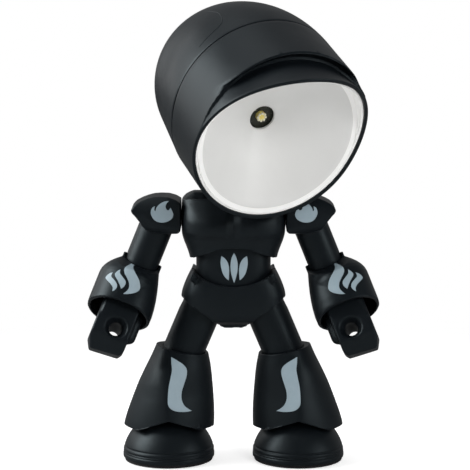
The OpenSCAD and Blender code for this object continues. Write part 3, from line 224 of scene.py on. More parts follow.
def smooth(obj, angle=38):
    mesh = obj.data
    mesh.polygons.foreach_set("use_smooth", [True] * len(mesh.polygons))
    mesh.set_sharp_from_angle(angle=math.radians(angle))
    mesh.update()


# Rings of points joined into a skin; closedRound joins the last ring to the first.
def skin(rings, closedRound=True):
    rings = np.asarray(rings, float)
    count, size = rings.shape[:2]
    points = rings.reshape(-1, 3)
    faces = []
    for i in range(count if closedRound else count - 1):
        for j in range(size):
            a, b = i * size + j, i * size + (j + 1) % size
            c, d = ((i + 1) % count) * size + (j + 1) % size, ((i + 1) % count) * size + j
            faces.append((a, b, c, d))
    return points, faces


def applied(obj):
    bpy.context.view_layer.update()
    mesh = bpy.data.meshes.new_from_object(obj.evaluated_get(bpy.context.evaluated_depsgraph_get()))
    obj.modifiers.clear()
    old = obj.data
    obj.data = mesh
    mesh.name = obj.name
    bpy.data.meshes.remove(old)
    return obj


def discard(obj):
    mesh = obj.data
    bpy.data.objects.remove(obj)
    bpy.data.meshes.remove(mesh)


def cutAway(obj, cutter):
    mod = obj.modifiers.new("cut", "BOOLEAN")
    mod.object = cutter
    mod.operation = "DIFFERENCE"
    mod.solver = "EXACT"
    applied(obj)
    discard(cutter)
    return obj


# A merged copy of a CAD node.
def copyOf(node, name):
    mesh = nodes[node].data.copy()
    mesh.name = name
    obj = link(bpy.data.objects.new(name, mesh))
    work = bmesh.new()
    work.from_mesh(mesh)
    bmesh.ops.remove_doubles(work, verts=work.verts, dist=0.003 * mm)
    work.to_mesh(mesh)
    work.free()
    return obj


def relaxed(obj, passes):
    relax = obj.modifiers.new("relax", "SMOOTH")
    relax.factor = 0.5
    relax.iterations = passes
    applied(obj)
    obj.data.polygons.foreach_set("use_smooth", [True] * len(obj.data.polygons))


# Rounds the edges of a moulded part: a fine even mesh, then a few smoothing passes.
def soften(obj, voxelMm, passes):
    remesh = obj.modifiers.new("remesh", "REMESH")
    remesh.mode = "VOXEL"
    remesh.voxel_size = voxelMm * mm
    relaxed(obj, passes)
    return obj


# Moves the points of a piece by a rule on arrays of x, y and z, in millimetres about the feet's middle.
def warp(obj, rule, side=1, frameOf=None):
    frameOf = frameOf or placed @ mirrorX(side)
    count = len(obj.data.vertices)
    flat = np.empty(count * 3, dtype=np.float32)
    obj.data.vertices.foreach_get("co", flat)
    inward, outward = np.array(frameOf.inverted()), np.array(frameOf)
    points = flat.reshape(-1, 3).astype(float) / mm @ inward[:3, :3].T + inward[:3, 3]
    points = np.stack(rule(points[:, 0], points[:, 1], points[:, 2]), 1) @ outward[:3, :3].T + outward[:3, 3]
    obj.data.vertices.foreach_set("co", (points * mm).astype(np.float32).ravel())
    obj.data.update()


def readPoints(items, key):
    flat = np.empty(len(items) * 3, dtype=np.float32)
    items.foreach_get(key, flat)
    return flat.reshape(-1, 3)


wrapping = {   # least agreement of the normals, start and length of the test ray in mm, rounds and vote of neighbours
    "facing": 0.3, "rayLift": 0.5, "rayMm": 60, "rounds": 6, "vote": 0.45,
}


# Draws the outer side of a piece onto a sculpted form; the hollow inside stays as it is.
def wrapOnto(obj, form, reachMm=3.6, passes=4):
    w = wrapping
    depsgraph = bpy.context.evaluated_depsgraph_get()
    own, target = BVHTree.FromObject(obj, depsgraph), BVHTree.FromObject(form, depsgraph)
    mesh = obj.data
    places, normals = readPoints(mesh.vertices, "co"), readPoints(mesh.vertices, "normal")
    goals, free = places.copy(), np.zeros(len(places))
    near = np.zeros(len(places), bool)
    for i, (point, out) in enumerate(zip(places, normals)):
        place, normal, _, _ = target.find_nearest(point, reachMm * mm)
        if place is None or normal.dot(Vector(out)) < w["facing"]:
            continue
        near[i] = True
        goals[i] = place
        start = Vector(point) + Vector(out) * w["rayLift"] * mm
        free[i] = own.ray_cast(start, out, w["rayMm"] * mm)[0] is None
    edges = np.empty(len(mesh.edges) * 2, dtype=np.int32)
    mesh.edges.foreach_get("vertices", edges)
    a, b = edges.reshape(-1, 2).T
    links = np.bincount(a, minlength=len(places)) + np.bincount(b, minlength=len(places))
    for _ in range(w["rounds"]):                        # a lone point goes with its neighbours
        around = np.bincount(a, free[b], len(places)) + np.bincount(b, free[a], len(places))
        free = np.where(near, (free + around / np.maximum(links, 1)) / 2 > w["vote"], 0).astype(float)
    moved = free > 0
    places[moved] = goals[moved]
    mesh.vertices.foreach_set("co", places.astype(np.float32).ravel())
    mesh.update()
    relaxed(obj, passes)
    discard(form)


# Rows of (z, ...) read at even heights, with the corners between them eased.
def rowsAt(rows, step=0.6, soft=5):
    rows = np.array(sorted(rows))
    heights = np.arange(rows[0, 0], rows[-1, 0] + step / 2, step)
    columns = [np.interp(heights, rows[:, 0], rows[:, i]) for i in range(1, rows.shape[1])]
    kernel = np.ones(soft) / soft
    columns = [np.convolve(np.pad(c, soft // 2, mode="edge"), kernel, "valid") for c in columns]
    return heights, columns


# A closed form of rounded sections; a row is (z, middle x, half width, front depth, back depth).
def barrelForm(name, rows, power, sculpt=None):
    heights, (middle, half, front, back) = rowsAt(rows)
    angle = np.linspace(0, 2 * math.pi, 180, endpoint=False)
    c, s = np.cos(angle), np.sin(angle)
    rings = []
    for z, m, w, f, b in zip(heights, middle, half, front, back):
        x = m + w * np.sign(c) * np.abs(c) ** (2 / power)
        y = np.where(s < 0, f, b) * np.sign(s) * np.abs(s) ** (2 / power)
        if sculpt:
            y = y + sculpt(x, y, z)
        rings.append(np.stack([x, y, np.full_like(x, z)], 1))
    return capped(name, rings)


def capped(name, rings, side=1):
    points, faces = skin(rings, closedRound=False)
    size = len(rings[0])
    faces += [tuple(range(size))[::-1], tuple(range((len(rings) - 1) * size, len(rings) * size))]
    return makePiece(name, points, faces, placed @ mirrorX(side))


# A Geometry Nodes tree with named inputs for its sizes and finishes.
def newTree(name, sizes, finishes=("Finish",)):
    tree = bpy.data.node_groups.new(name, "GeometryNodeTree")
    tree.interface.new_socket("Geometry", in_out="INPUT", socket_type="NodeSocketGeometry")
    for kind, names in (("Float", sizes), ("Material", finishes)):
        for inputName in names:
            tree.interface.new_socket(inputName, in_out="INPUT", socket_type="NodeSocket" + kind)
    tree.interface.new_socket("Geometry", in_out="OUTPUT", socket_type="NodeSocketGeometry")
    return tree, addNode(tree, "NodeGroupInput")


# Ends a tree in real geometry with its finish, and with a second finish on the faces picked for it.
def endTree(tree, given, geometry, picked=None):
    real = addNode(tree, "GeometryNodeRealizeInstances", {"Geometry": geometry})
    done = addNode(tree, "GeometryNodeSetMaterial", {"Geometry": real.outputs[0],
                                                     "Material": given.outputs["Finish"]})
    if picked:
        done = addNode(tree, "GeometryNodeSetMaterial", {"Geometry": done.outputs[0], "Selection": picked,
                                                         "Material": given.outputs["Second Finish"]})
    addNode(tree, "NodeGroupOutput", {"Geometry": done.outputs[0]})


# Runs a tree on a mesh about the origin, then sets the result in its place in the part.
def growPiece(name, tree, values, place, points, edges=(), faces=(), shares=()):
    mesh = bpy.data.meshes.new(name)
    mesh.from_pydata([Vector(p) * mm for p in points], edges, faces)
    if len(shares):
        mesh.attributes.new("riseShare", "FLOAT", "POINT").data.foreach_set("value", shares)
    obj = link(bpy.data.objects.new(name, mesh))
    mod = obj.modifiers.new("grow", "NODES")
    mod.node_group = tree
    for item in tree.interface.items_tree:
        if item.in_out == "INPUT" and item.name in values:
            mod[item.identifier] = values[item.name]
    applied(obj)
    closeUp(obj.data)
    obj.data.transform(Matrix.Scale(mm, 4) @ place @ Matrix.Scale(1 / mm, 4))
    smooth(obj)
    return obj


def setMaterial(obj, material):
    obj.data.materials.clear()
    obj.data.materials.append(material)


def smoothMax(a, b, k):
    h = np.maximum(k - np.abs(a - b), 0)
    return np.maximum(a, b) + h * h / (4 * k)


def ease(value, low, high):
    t = np.clip((value - low) / (high - low), 0, 1)
    return t * t * (3 - 2 * t)


helmet = {
    "rimR": 40.0, "rimWall": 1.6, "rimReach": 38.2, "seamReach": 12.4, "browCurveR": 86.0, "browDrop": 15.5,
    "visorReach": 41.2, "crownR": 39.3, "crownRise": 4.4, "seamR": 39.7, "recess": 4.0, "visorDepth": 0.9,
    "visorFade": (4.6, 12.2), "wall": 2.0, "backR": 36.6, "backDepth": 11.8, "seamGap": 0.3, "edge": 0.55,
    "around": 320,
}


def crownRadius(radius, angle):
    rise = helmet["crownRise"]
    inside = radius ** 2 - (rise * math.cos(angle)) ** 2
    return rise * math.sin(angle) + math.sqrt(max(inside, 0)) if inside > 0 else 0.0


def browDepth(z):
    lift = max(0.0, z + helmet["browDrop"])
    return helmet["rimReach"] + helmet["browCurveR"] - math.sqrt(helmet["browCurveR"] ** 2 - lift ** 2)


# One section of the front shell, as (y, r) from the seam over the visor to the rim and back inside.
def frontSection(angle):
    h = helmet
    rimY = -browDepth(h["rimR"] * math.sin(angle))
    seamY = -h["seamReach"] - h["seamGap"] / 2
    seamR = float(smoothMax(h["seamR"], crownRadius(h["crownR"] + 0.4, angle), 1.0))
    visorR = float(smoothMax(h["rimR"], crownRadius(h["crownR"], angle), 0.8))
    visorY = max(-h["visorReach"], rimY)
    strength = float(ease(-rimY - h["visorReach"], *h["visorFade"])) * h["visorDepth"]
    floorR = h["rimR"] - 1.0
    back = visorY + h["recess"]
    e = h["edge"]
    outer = []
    for t in np.linspace(0, 1, 14):                      # from the seam to the visor edge
        outer.append((seamY + (visorY + e - seamY) * t, seamR + (visorR - seamR) * t))
    for a in np.linspace(15, 75, 5):                     # the rounded visor edge
        outer.append((visorY + e - e * math.sin(math.radians(a)), visorR - e + e * math.cos(math.radians(a))))
    outer.append((visorY, visorR - e))
    depth = max(visorR - 0.6 - floorR, 0.2)
    for t in np.linspace(0.1, 0.95, 9):                  # under the visor, back into the recess
        outer.append((visorY + (back - visorY) * t ** 0.8, visorR - e - (depth - e) * t ** 1.6))
    for t in np.linspace(0.06, 1, 18):                   # the scooped band out to the rim
        sag = 0.75 * math.sin(math.pi * t ** 0.8)
        outer.append((back + 0.3 + (rimY + 0.5 - back - 0.3) * t, floorR + (h["rimR"] - floorR) * t ** 1.5 - sag * 0.6))
    plainT = np.concatenate([np.linspace(0, 0.62, 14), np.linspace(0.64, 0.995, len(outer) - 14)])
    section = []
    for (y, r), t in zip(outer, plainT):
        plainY, plainR = seamY + (rimY + 0.5 - seamY) * t, seamR + (max(h["rimR"], 0) - seamR) * t
        plainR = float(smoothMax(plainR, crownRadius(h["crownR"], angle) if plainY > visorY else 0.0, 0.8))
        section.append((plainY + (y - plainY) * strength, plainR + (r - plainR) * strength))
    inR = h["rimR"] - h["rimWall"]
    section[0:1] = [(seamY, seamR - 0.5), (seamY - 0.08, seamR - 0.14), (seamY - 0.35, seamR)]
    section += [(rimY + 0.2, h["rimR"] - 0.05), (rimY + 0.03, h["rimR"] - 0.25), (rimY, h["rimR"] - 0.6),
                (rimY, inR + 0.5), (rimY + 0.04, inR + 0.2), (rimY + 0.25, inR)]
    section += [(-h["rimReach"] + 2.8, inR), (-h["rimReach"] + 2.8, inR - 0.4)]
    section += [(-30, inR - 0.45), (-20, seamR - h["wall"] - 0.1), (seamY, seamR - h["wall"])]
    return section


def aroundAxis(sectionOf, count):
    rings = []
    for angle in np.linspace(0, 2 * math.pi, count, endpoint=False):
        c, s = math.cos(angle), math.sin(angle)
        rings.append([(r * c, y, r * s) for y, r in sectionOf(angle)])
    return rings


frontShell = makePiece("helmetFrontShell", *skin(aroundAxis(frontSection, helmet["around"])), lampFrame)
print("helmet front shell:", len(frontShell.data.polygons))


def rearRadius(y, angle, wall):
    h = helmet
    backR, depth = h["backR"] - wall, h["backDepth"]
    start = h["seamGap"] / 2 - h["seamReach"]
    seamR = h["seamR"] - wall
    reach = math.hypot(depth - start, seamR)
    taper = math.acos(min(1, backR / reach)) - math.atan((depth - start) / seamR)
    touchY, touchR = depth + backR * math.sin(taper), backR * math.cos(taper)
    if y < touchY:
        base = seamR + (touchR - seamR) * (y - start) / (touchY - start)
    else:
        base = math.sqrt(max(backR ** 2 - (y - depth) ** 2, 0))
    crownBack = depth + h["backR"] - 3 - wall
    reachT = (y - start) / (crownBack - start)
    crown = 0.0
    if reachT < 1:
        crown = crownRadius((h["crownR"] + 0.4 - wall) * math.sqrt(1 - max(reachT, 0) ** 2), angle)
    return float(smoothMax(base, crown, 1.0 + 0.02 * base)) if base > 6 else max(base, 0.0)


def rearSection(angle):
    h = helmet
    start = h["seamGap"] / 2 - h["seamReach"]
    section = []
    for wall in (0.0, h["wall"]):
        line = [(y, rearRadius(y, angle, wall)) for y in np.linspace(start, h["backDepth"], 16)[:-1]]
        for a in np.linspace(0, 90, 26):
            y = h["backDepth"] + (h["backR"] - wall) * math.sin(math.radians(a))
            line.append((y, rearRadius(y, angle, wall) if a < 90 else 0.0))
        if wall == 0:
            first = line[0][1]
            line[0:1] = [(start, first - 0.5), (start + 0.08, first - 0.14), (start + 0.35, first)]
        section += line if wall == 0 else line[::-1]
    return section


def cylinderPoints(radius, y0, y1, x=0.0, z=0.0, count=40):
    ring = [(x + radius * math.cos(a), z + radius * math.sin(a))
            for a in np.linspace(0, 2 * math.pi, count, endpoint=False)]
    points = [(px, y0, pz) for px, pz in ring] + [(px, y1, pz) for px, pz in ring]
    faces = [(i, (i + 1) % count, count + (i + 1) % count, count + i) for i in range(count)]
    faces += [tuple(range(count))[::-1], tuple(range(count, 2 * count))]
    return points, faces


def boxPoints(low, high):
    points = [(x, y, z) for x in (low[0], high[0]) for y in (low[1], high[1]) for z in (low[2], high[2])]
    faces = [(0, 1, 3, 2), (4, 6, 7, 5), (0, 4, 5, 1), (2, 3, 7, 6), (0, 2, 6, 4), (1, 5, 7, 3)]
    return points, faces


def joinedPoints(parts):
    points, faces = [], []
    for morePoints, moreFaces in parts:
        base = len(points)
        points += list(morePoints)
        faces += [tuple(base + i for i in face) for face in moreFaces]
    return points, faces


rearHoles = {"screwRing": 31.5, "screwAngles": (35, 145, 215, 325), "screwHole": 2.5, "screwSeat": 8.0,
             "buttonHole": 4.8, "socketW": 8.4, "socketH": 3.4, "socketDrop": 9.0, "slotHalf": 6.0}

rearShell = makePiece("helmetRearShell", *skin(aroundAxis(rearSection, helmet["around"])), lampFrame)
h = rearHoles
holes = [cylinderPoints(h["buttonHole"], 36, 60)]
for a in h["screwAngles"]:
    holes.append(cylinderPoints(h["screwHole"], h["screwSeat"] + 8, 60, h["screwRing"] * math.cos(math.radians(a)),
                                h["screwRing"] * math.sin(math.radians(a))))
holes.append(boxPoints((-h["socketW"] / 2, 36, -h["socketDrop"] - h["socketH"] / 2),
                       (h["socketW"] / 2, 60, -h["socketDrop"] + h["socketH"] / 2)))
holes.append(boxPoints((-h["slotHalf"], -10.6, -20 - lamp["axisRise"]), (h["slotHalf"], 8, 2 - lamp["axisRise"])))
cutAway(rearShell, makePiece("rearCutter", *joinedPoints(holes), lampFrame))
smooth(rearShell)
print("helmet rear shell:", len(rearShell.data.polygons))

cone = {"mouthR": 34.6, "holeR": 5.75, "depth": 18.4, "wall": 1.2, "lipR": 38.3, "land": 0.7, "around": 256}


# Points of the section as (y, r, share of the brow's rise).
def reflectorSection():
    rimY = -helmet["rimReach"] + 0.8
    mouthY = -helmet["rimReach"] + cone["land"]
    throatY = mouthY + cone["depth"]
    w, lip, inner = cone["wall"], cone["lipR"], cone["lipR"] - cone["wall"]
    section = [(mouthY + w, lip - 0.1, 0)]
    for t in np.linspace(0, 1, 6):                       # up the outside of the lip
        section.append((mouthY + w - 0.1 + (rimY + 0.4 - mouthY - w) * t, lip, t))
    section += [(rimY + 0.05, lip - 0.1, 1), (rimY, lip - 0.35, 1)]
    section += [(rimY, inner + 0.35, 1), (rimY + 0.05, inner + 0.1, 1)]
    for t in np.linspace(0, 1, 6):                       # and down its inside
        section.append((rimY + 0.3 + (mouthY - 0.65 - rimY) * t, inner, 1 - t))
    section += [(mouthY - 0.08, inner - 0.1, 0), (mouthY, inner - 0.4, 0), (mouthY, cone["mouthR"] + 0.4, 0)]
    for t in np.linspace(0.012, 0.985, 24):
        section.append((mouthY + cone["depth"] * t, cone["mouthR"] + (cone["holeR"] - cone["mouthR"]) * t, 0))
    section += [(throatY, cone["holeR"] + 0.15, 0), (throatY + 0.15, cone["holeR"], 0), (throatY + w, cone["holeR"], 0),
                (throatY + w, cone["holeR"] + w / 2, 0), (mouthY + w, cone["mouthR"] + w / 2, 0)]
    return section


# A turned piece whose rim rises to follow the brow's arc: rise = R - sqrt(R * R - lift * lift), where lift is the
# rim's height above the arc's start. Faces outside the mouth get the second finish.
browRise, given = newTree("browRise", ["Brow Radius", "Brow Drop", "Lip Radius", "Mouth Radius"],
                          ("Finish", "Second Finish"))
axes = addNode(browRise, "ShaderNodeSeparateXYZ", {0: addNode(browRise, "GeometryNodeInputPosition").outputs[0]})
flat = addNode(browRise, "ShaderNodeCombineXYZ", {"X": axes.outputs["X"], "Z": axes.outputs["Z"]})
radius = addNode(browRise, "ShaderNodeVectorMath", {0: flat.outputs[0]}, operation="LENGTH")
slope = addNode(browRise, "ShaderNodeMath", {0: axes.outputs["Z"], 1: radius.outputs["Value"]}, operation="DIVIDE")
height = addNode(browRise, "ShaderNodeMath", {0: slope.outputs[0], 1: given.outputs["Lip Radius"],
                                              2: given.outputs["Brow Drop"]}, operation="MULTIPLY_ADD")
lift = addNode(browRise, "ShaderNodeMath", {0: height.outputs[0]}, operation="MAXIMUM", inputs={1: 0.0})
liftSquare = addNode(browRise, "ShaderNodeMath", {0: lift.outputs[0], 1: lift.outputs[0]}, operation="MULTIPLY")
radiusSquare = addNode(browRise, "ShaderNodeMath", {0: given.outputs["Brow Radius"], 1: given.outputs["Brow Radius"]},
                       operation="MULTIPLY")
left = addNode(browRise, "ShaderNodeMath", {0: radiusSquare.outputs[0], 1: liftSquare.outputs[0]}, operation="SUBTRACT")
root = addNode(browRise, "ShaderNodeMath", {0: left.outputs[0]}, operation="SQRT")
fall = addNode(browRise, "ShaderNodeMath", {0: root.outputs[0], 1: given.outputs["Brow Radius"]}, operation="SUBTRACT")
share = addNode(browRise, "GeometryNodeInputNamedAttribute", inputs={"Name": "riseShare"}, data_type="FLOAT")
rise = addNode(browRise, "ShaderNodeMath", {0: fall.outputs[0], 1: share.outputs["Attribute"]}, operation="MULTIPLY")
offset = addNode(browRise, "ShaderNodeCombineXYZ", {"Y": rise.outputs[0]})
raised = addNode(browRise, "GeometryNodeSetPosition", {"Geometry": given.outputs["Geometry"],
                                                       "Offset": offset.outputs[0]})
outside = addNode(browRise, "ShaderNodeMath", {0: radius.outputs["Value"], 1: given.outputs["Mouth Radius"]},
                  operation="GREATER_THAN")
endTree(browRise, given, raised.outputs[0], outside.outputs[0])

section = reflectorSection()
plainRings = aroundAxis(lambda angle: [(y, r) for y, r, _ in section], cone["around"])
points, faces = skin(plainRings)
# The lip outside the mouth takes the paler, faintly glowing finish: painted light on the rim.
reflector = growPiece("reflectorCone", browRise, {
    "Brow Radius": helmet["browCurveR"] * mm, "Brow Drop": helmet["browDrop"] * mm, "Lip Radius": cone["lipR"] * mm,
    "Mouth Radius": (cone["mouthR"] + 0.2) * mm, "Finish": whiteAbs, "Second Finish": paintedGlowLip,
}, lampFrame, points, faces=faces, shares=[share for _, _, share in section] * cone["around"])
print("reflector:", len(reflector.data.polygons))

fist = {   # the mouth's rows are (radius, depth behind the front face)
    "holeR": 3.0, "holeDrop": 34.7, "halfDepth": 7.4, "mouth": [(6.5, -2.6), (2.7, 4.4)],
    "slope": 2.2, "slopeReach": (3.8, 6.4), "slopeFrom": -3.0,
}


def openFist(obj, side):
    bore = cylinderPoints(fist["holeR"], -20, 20, 0, -fist["holeDrop"])
    count = 40
    ring = np.linspace(0, 2 * math.pi, count, endpoint=False)
    mouth = [(r * math.cos(a), depth - fist["halfDepth"], r * math.sin(a) - fist["holeDrop"])
             for r, depth in fist["mouth"] for a in ring]
    faces = [(i, (i + 1) % count, count + (i + 1) % count, count + i) for i in range(count)]
    faces += [tuple(range(count))[::-1], tuple(range(count, 2 * count))]
    cutAway(obj, makePiece("fistBore", *bore, elbowFrame(side)))
    cutAway(obj, makePiece("fistMouth", mouth, faces, elbowFrame(side)))


# The hole runs down towards the back of the fist.
def slopeHole(x, y, z):
    away = np.hypot(x, z + fist["holeDrop"])
    drop = fist["slope"] * (1 - ease(away, *fist["slopeReach"])) * ease(y, fist["slopeFrom"], fist["halfDepth"])
    return x, y, z - drop


rounding = {   # voxel size in mm, smoothing passes
    "chest_front": (0.4, 8), "chest_back": (0.4, 8), "pelvis_front": (0.4, 8), "pelvis_back": (0.4, 8),
    "waist_core": (0.45, 6), "shoulder_pad": (0.35, 16), "upper_arm": (0.4, 4), "gauntlet": (0.32, 7),
    "hand": (0.3, 45), "thigh": (0.4, 4), "boot": (0.4, 4), "foot": (0.28, 4), "neck_knuckle": (0.35, 3),
}
softened = {}
for base, (voxel, passes) in rounding.items():
    for suffix in ("", "_left", "_right"):
        node = base + suffix
        if node not in nodes:
            continue
        words = node.split("_")
        pieceName = words[0] + "".join(w.capitalize() for w in words[1:]) + "Moulded"
        moulded = copyOf(node, pieceName)
        if base == "hand":
            openFist(moulded, -1 if suffix == "_left" else 1)
        softened[node] = soften(moulded, voxel, passes)
        setMaterial(softened[node], blackAbs)
print("moulded pieces:", len(softened), sum(len(o.data.polygons) for o in softened.values()))

chest = {
    "rows": [(84, 0, 19.0, 15.0, 13.6), (95, 0, 19.9, 15.5, 14.0), (97, 0, 20.5, 15.9, 14.3),
             (99.7, 0, 21.5, 16.4, 14.8), (102.4, 0, 22.6, 17.2, 15.4), (105.3, 0, 23.4, 18.1, 16.2),
             (108, 0, 23.5, 18.4, 16.5), (112, 0, 23.5, 18.2, 16.4), (115.5, 0, 23.5, 16.6, 15.2),
             (118.5, 0, 23.4, 14.0, 13.0), (121, 0, 23.2, 11.6, 11.0), (126, 0, 22.8, 10.0, 9.6)],
    "power": 3.5, "front": (3.0, 9.0), "grooveDepth": 1.3, "grooveHalf": 1.5, "grooveFoot": (103.5, 106.5),
    "grooveTop": (113, 118), "bulge": 0.8, "bulgeX": (10.0, 6.0), "bulgeZ": (110.0, 4.6), "fold": 105.0,
    "foldDepth": 0.9, "foldSag": 1.6, "foldSoft": (1.8, 1.4),
    "humpRise": 3.6, "humpInner": (9.5, 14.0), "humpOuter": (17.0, 24.6), "humpFront": (-8.5, -2.5),
    "humpBack": (5.0, 13.0), "humpFoot": (115.5, 120.0),
}


# Two broad muscles with a soft groove between them, over a drawn-in belly.
def chestSculpt(x, y, z):
    c = chest
    (bulgeX, wide), (bulgeZ, high) = c["bulgeX"], c["bulgeZ"]
    groove = np.exp(-(x / c["grooveHalf"]) ** 2) * ease(z, *c["grooveFoot"]) * (1 - ease(z, *c["grooveTop"]))
    bulge = np.exp(-((np.abs(x) - bulgeX) / wide) ** 2 - ((z - bulgeZ) / high) ** 2)
    fold = c["fold"] + c["foldSag"] * (np.abs(x) / 18.0 - 0.45) ** 2
    belly = 1 - ease(z, fold - c["foldSoft"][0], fold + c["foldSoft"][1])
    return ease(-y, *c["front"]) * (c["grooveDepth"] * groove - c["bulge"] * bulge + c["foldDepth"] * belly)


# The shoulders rise beside the neck.
def chestHumps(x, y, z):
    c = chest
    across = ease(np.abs(x), *c["humpInner"]) * (1 - ease(np.abs(x), *c["humpOuter"]))
    along = ease(y, *c["humpFront"]) * (1 - ease(y, *c["humpBack"]))
    return x, y, z + c["humpRise"] * across * along * ease(z, *c["humpFoot"])


for node in ("chest_front", "chest_back"):
    sculpted = chestSculpt if node == "chest_front" else None
    form = barrelForm("chestForm", chest["rows"], chest["power"], sculpt=sculpted)
    wrapOnto(softened[node], form)
    warp(softened[node], chestHumps)

waist = {"rows": [(78, 0, 17.0, 12.4, 12.4), (92, 0, 16.95, 12.6, 12.4), (106, 0, 17.0, 12.4, 12.4)], "power": 2.7}
wrapOnto(softened["waist_core"], barrelForm("waistForm", waist["rows"], waist["power"]))

pelvis = {
    "rows": [(54, 0, 23.4, 8.0, 8.0), (62.2, 0, 23.6, 8.4, 8.4), (65, 0, 23.7, 12.4, 12.4), (68, 0, 23.8, 14.2, 14.2),
             (73, 0, 23.9, 14.9, 14.9), (77.6, 0, 23.7, 15.0, 15.0), (80.4, 0, 22.8, 14.9, 14.9),
             (83.2, 0, 21.7, 14.7, 14.7), (86, 0, 20.4, 14.4, 14.4), (88.7, 0, 18.9, 14.1, 14.1),
             (93, 0, 17.0, 13.8, 13.8)],
    "power": 3.0, "bottomRise": 1.2, "bottom": (62.0, 67.0),
}


# The underside is a little higher than the plain form's.
def pelvisBottom(x, y, z):
    return x, y, z + pelvis["bottomRise"] * (1 - ease(z, *pelvis["bottom"]))


for node in ("pelvis_front", "pelvis_back"):
    wrapOnto(softened[node], barrelForm("pelvisForm", pelvis["rows"], pelvis["power"]), passes=6)
    warp(softened[node], pelvisBottom)

boot = {   # z, middle, half width, front and back depth, place of the front ridge
    "rows": [(10, 29.9, 20.7, 19.6, 17.4, 29.8), (15.4, 29.7, 20.75, 19.0, 17.0, 29.8),
             (17.8, 29.45, 20.6, 18.8, 16.8, 29.9), (21.4, 28.9, 20.1, 18.4, 16.5, 30.0),
             (25.1, 28.3, 19.4, 17.9, 16.2, 30.1), (28.9, 27.7, 18.6, 17.3, 15.8, 30.1),
             (32.7, 27.1, 17.75, 16.6, 15.3, 30.0), (36.6, 26.5, 16.8, 15.8, 14.7, 29.6),
             (40.2, 25.8, 15.8, 14.9, 14.1, 29.0), (44.1, 25.1, 14.6, 13.9, 13.4, 28.0),
             (47.8, 24.5, 13.3, 12.8, 12.6, 26.6), (52, 24.0, 11.9, 11.9, 11.9, 24.8),
             (57, 23.3, 10.6, 10.8, 10.8, 23.5)],
    "ridge": 1.35, "round": 2.1, "roundFrom": (30, 52), "frontPower": 1.75, "backPower": 2.0, "reachMm": 4.5,
}


def bootForm(side):
    heights, (middle, half, front, back, ridge) = rowsAt(boot["rows"])
    turns = np.linspace(0, 2 * math.pi, 200, endpoint=False)
    rings = []
    for z, m, w, f, b, r in zip(heights, middle, half, front, back, ridge):
        sharp = boot["ridge"] + (boot["round"] - boot["ridge"]) * float(ease(z, *boot["roundFrom"]))
        u = np.cos(turns)
        isFront = np.sin(turns) < 0
        x = np.where(isFront, np.where(u < 0, r + u * (r - m + w), r + u * (m + w - r)), m + u * w)
        yFront = -f * (1 - np.abs(u) ** sharp) ** (1 / boot["frontPower"])
        yBack = b * np.clip(1 - np.abs(u) ** boot["round"], 0, 1) ** (1 / boot["backPower"])
        rings.append(np.stack([x, np.where(isFront, yFront, yBack), np.full_like(x, z)], 1))
    return capped("bootForm", rings, side)


for side, node in ((-1, "boot_left"), (1, "boot_right")):
    wrapOnto(softened[node], bootForm(side), boot["reachMm"], passes=3)


pad = {
    "outer": (32.0, 44.0), "heights": [106, 108, 110.7, 113.4, 116.2, 119, 121.7],
    "shifts": [-0.6, -0.8, -1.0, -0.5, 0.5, 0.0, -1.2], "fall": 1.1, "inner": (24.0, 30.0), "top": (116.0, 121.0),
}


# The pad's outer tip is sharper and its top falls towards the chest.
def padShape(x, y, z):
    shift = np.interp(z, pad["heights"], pad["shifts"]) * ease(x, *pad["outer"])
    return x + shift, y, z - pad["fall"] * (1 - ease(x, *pad["inner"])) * ease(z, *pad["top"])


gauntlet = {"earFrom": 0.4, "earShare": 0.45}


# The ears at the elbow pins end low, in a soft corner.
def trimEars(x, y, z):
    above = np.maximum(z - gauntlet["earFrom"], 0)
    return x, y, z - above * (1 - gauntlet["earShare"])


foot = {"middleX": 30.0, "grooves": [4.5, 6.4], "grooveHalf": 0.34, "grooveDepth": 0.42, "solid": 13.0}


# Two fine grooves run round the foot just above its sole.
def footGrooves(x, y, z):
    away = np.hypot(x - foot["middleX"], y)
    cut = sum(foot["grooveDepth"] * np.exp(-((z - level) / foot["grooveHalf"]) ** 2) for level in foot["grooves"])
    cut = cut * ease(away, foot["solid"] - 1.0, foot["solid"])
    return x - cut * (x - foot["middleX"]) / np.maximum(away, 1), y - cut * y / np.maximum(away, 1), z


for side, suffix in ((-1, "_left"), (1, "_right")):
    warp(softened["foot" + suffix], footGrooves, side)
    warp(softened["gauntlet" + suffix], trimEars, frameOf=elbowFrame(side))
    warp(softened["shoulder_pad" + suffix], padShape, side)
    warp(softened["hand" + suffix], slopeHole, frameOf=elbowFrame(side))
print("sculpted pieces")

camera = {"place": (0.7, -900.0, 233.0), "down": 8.17, "focalPx": 2000.0, "imagePx": 470.0, "sensorMm": 36.0}
eye = Vector((camera["place"][0], camera["place"][1] + lamp["shift"], camera["place"][2])) * mm

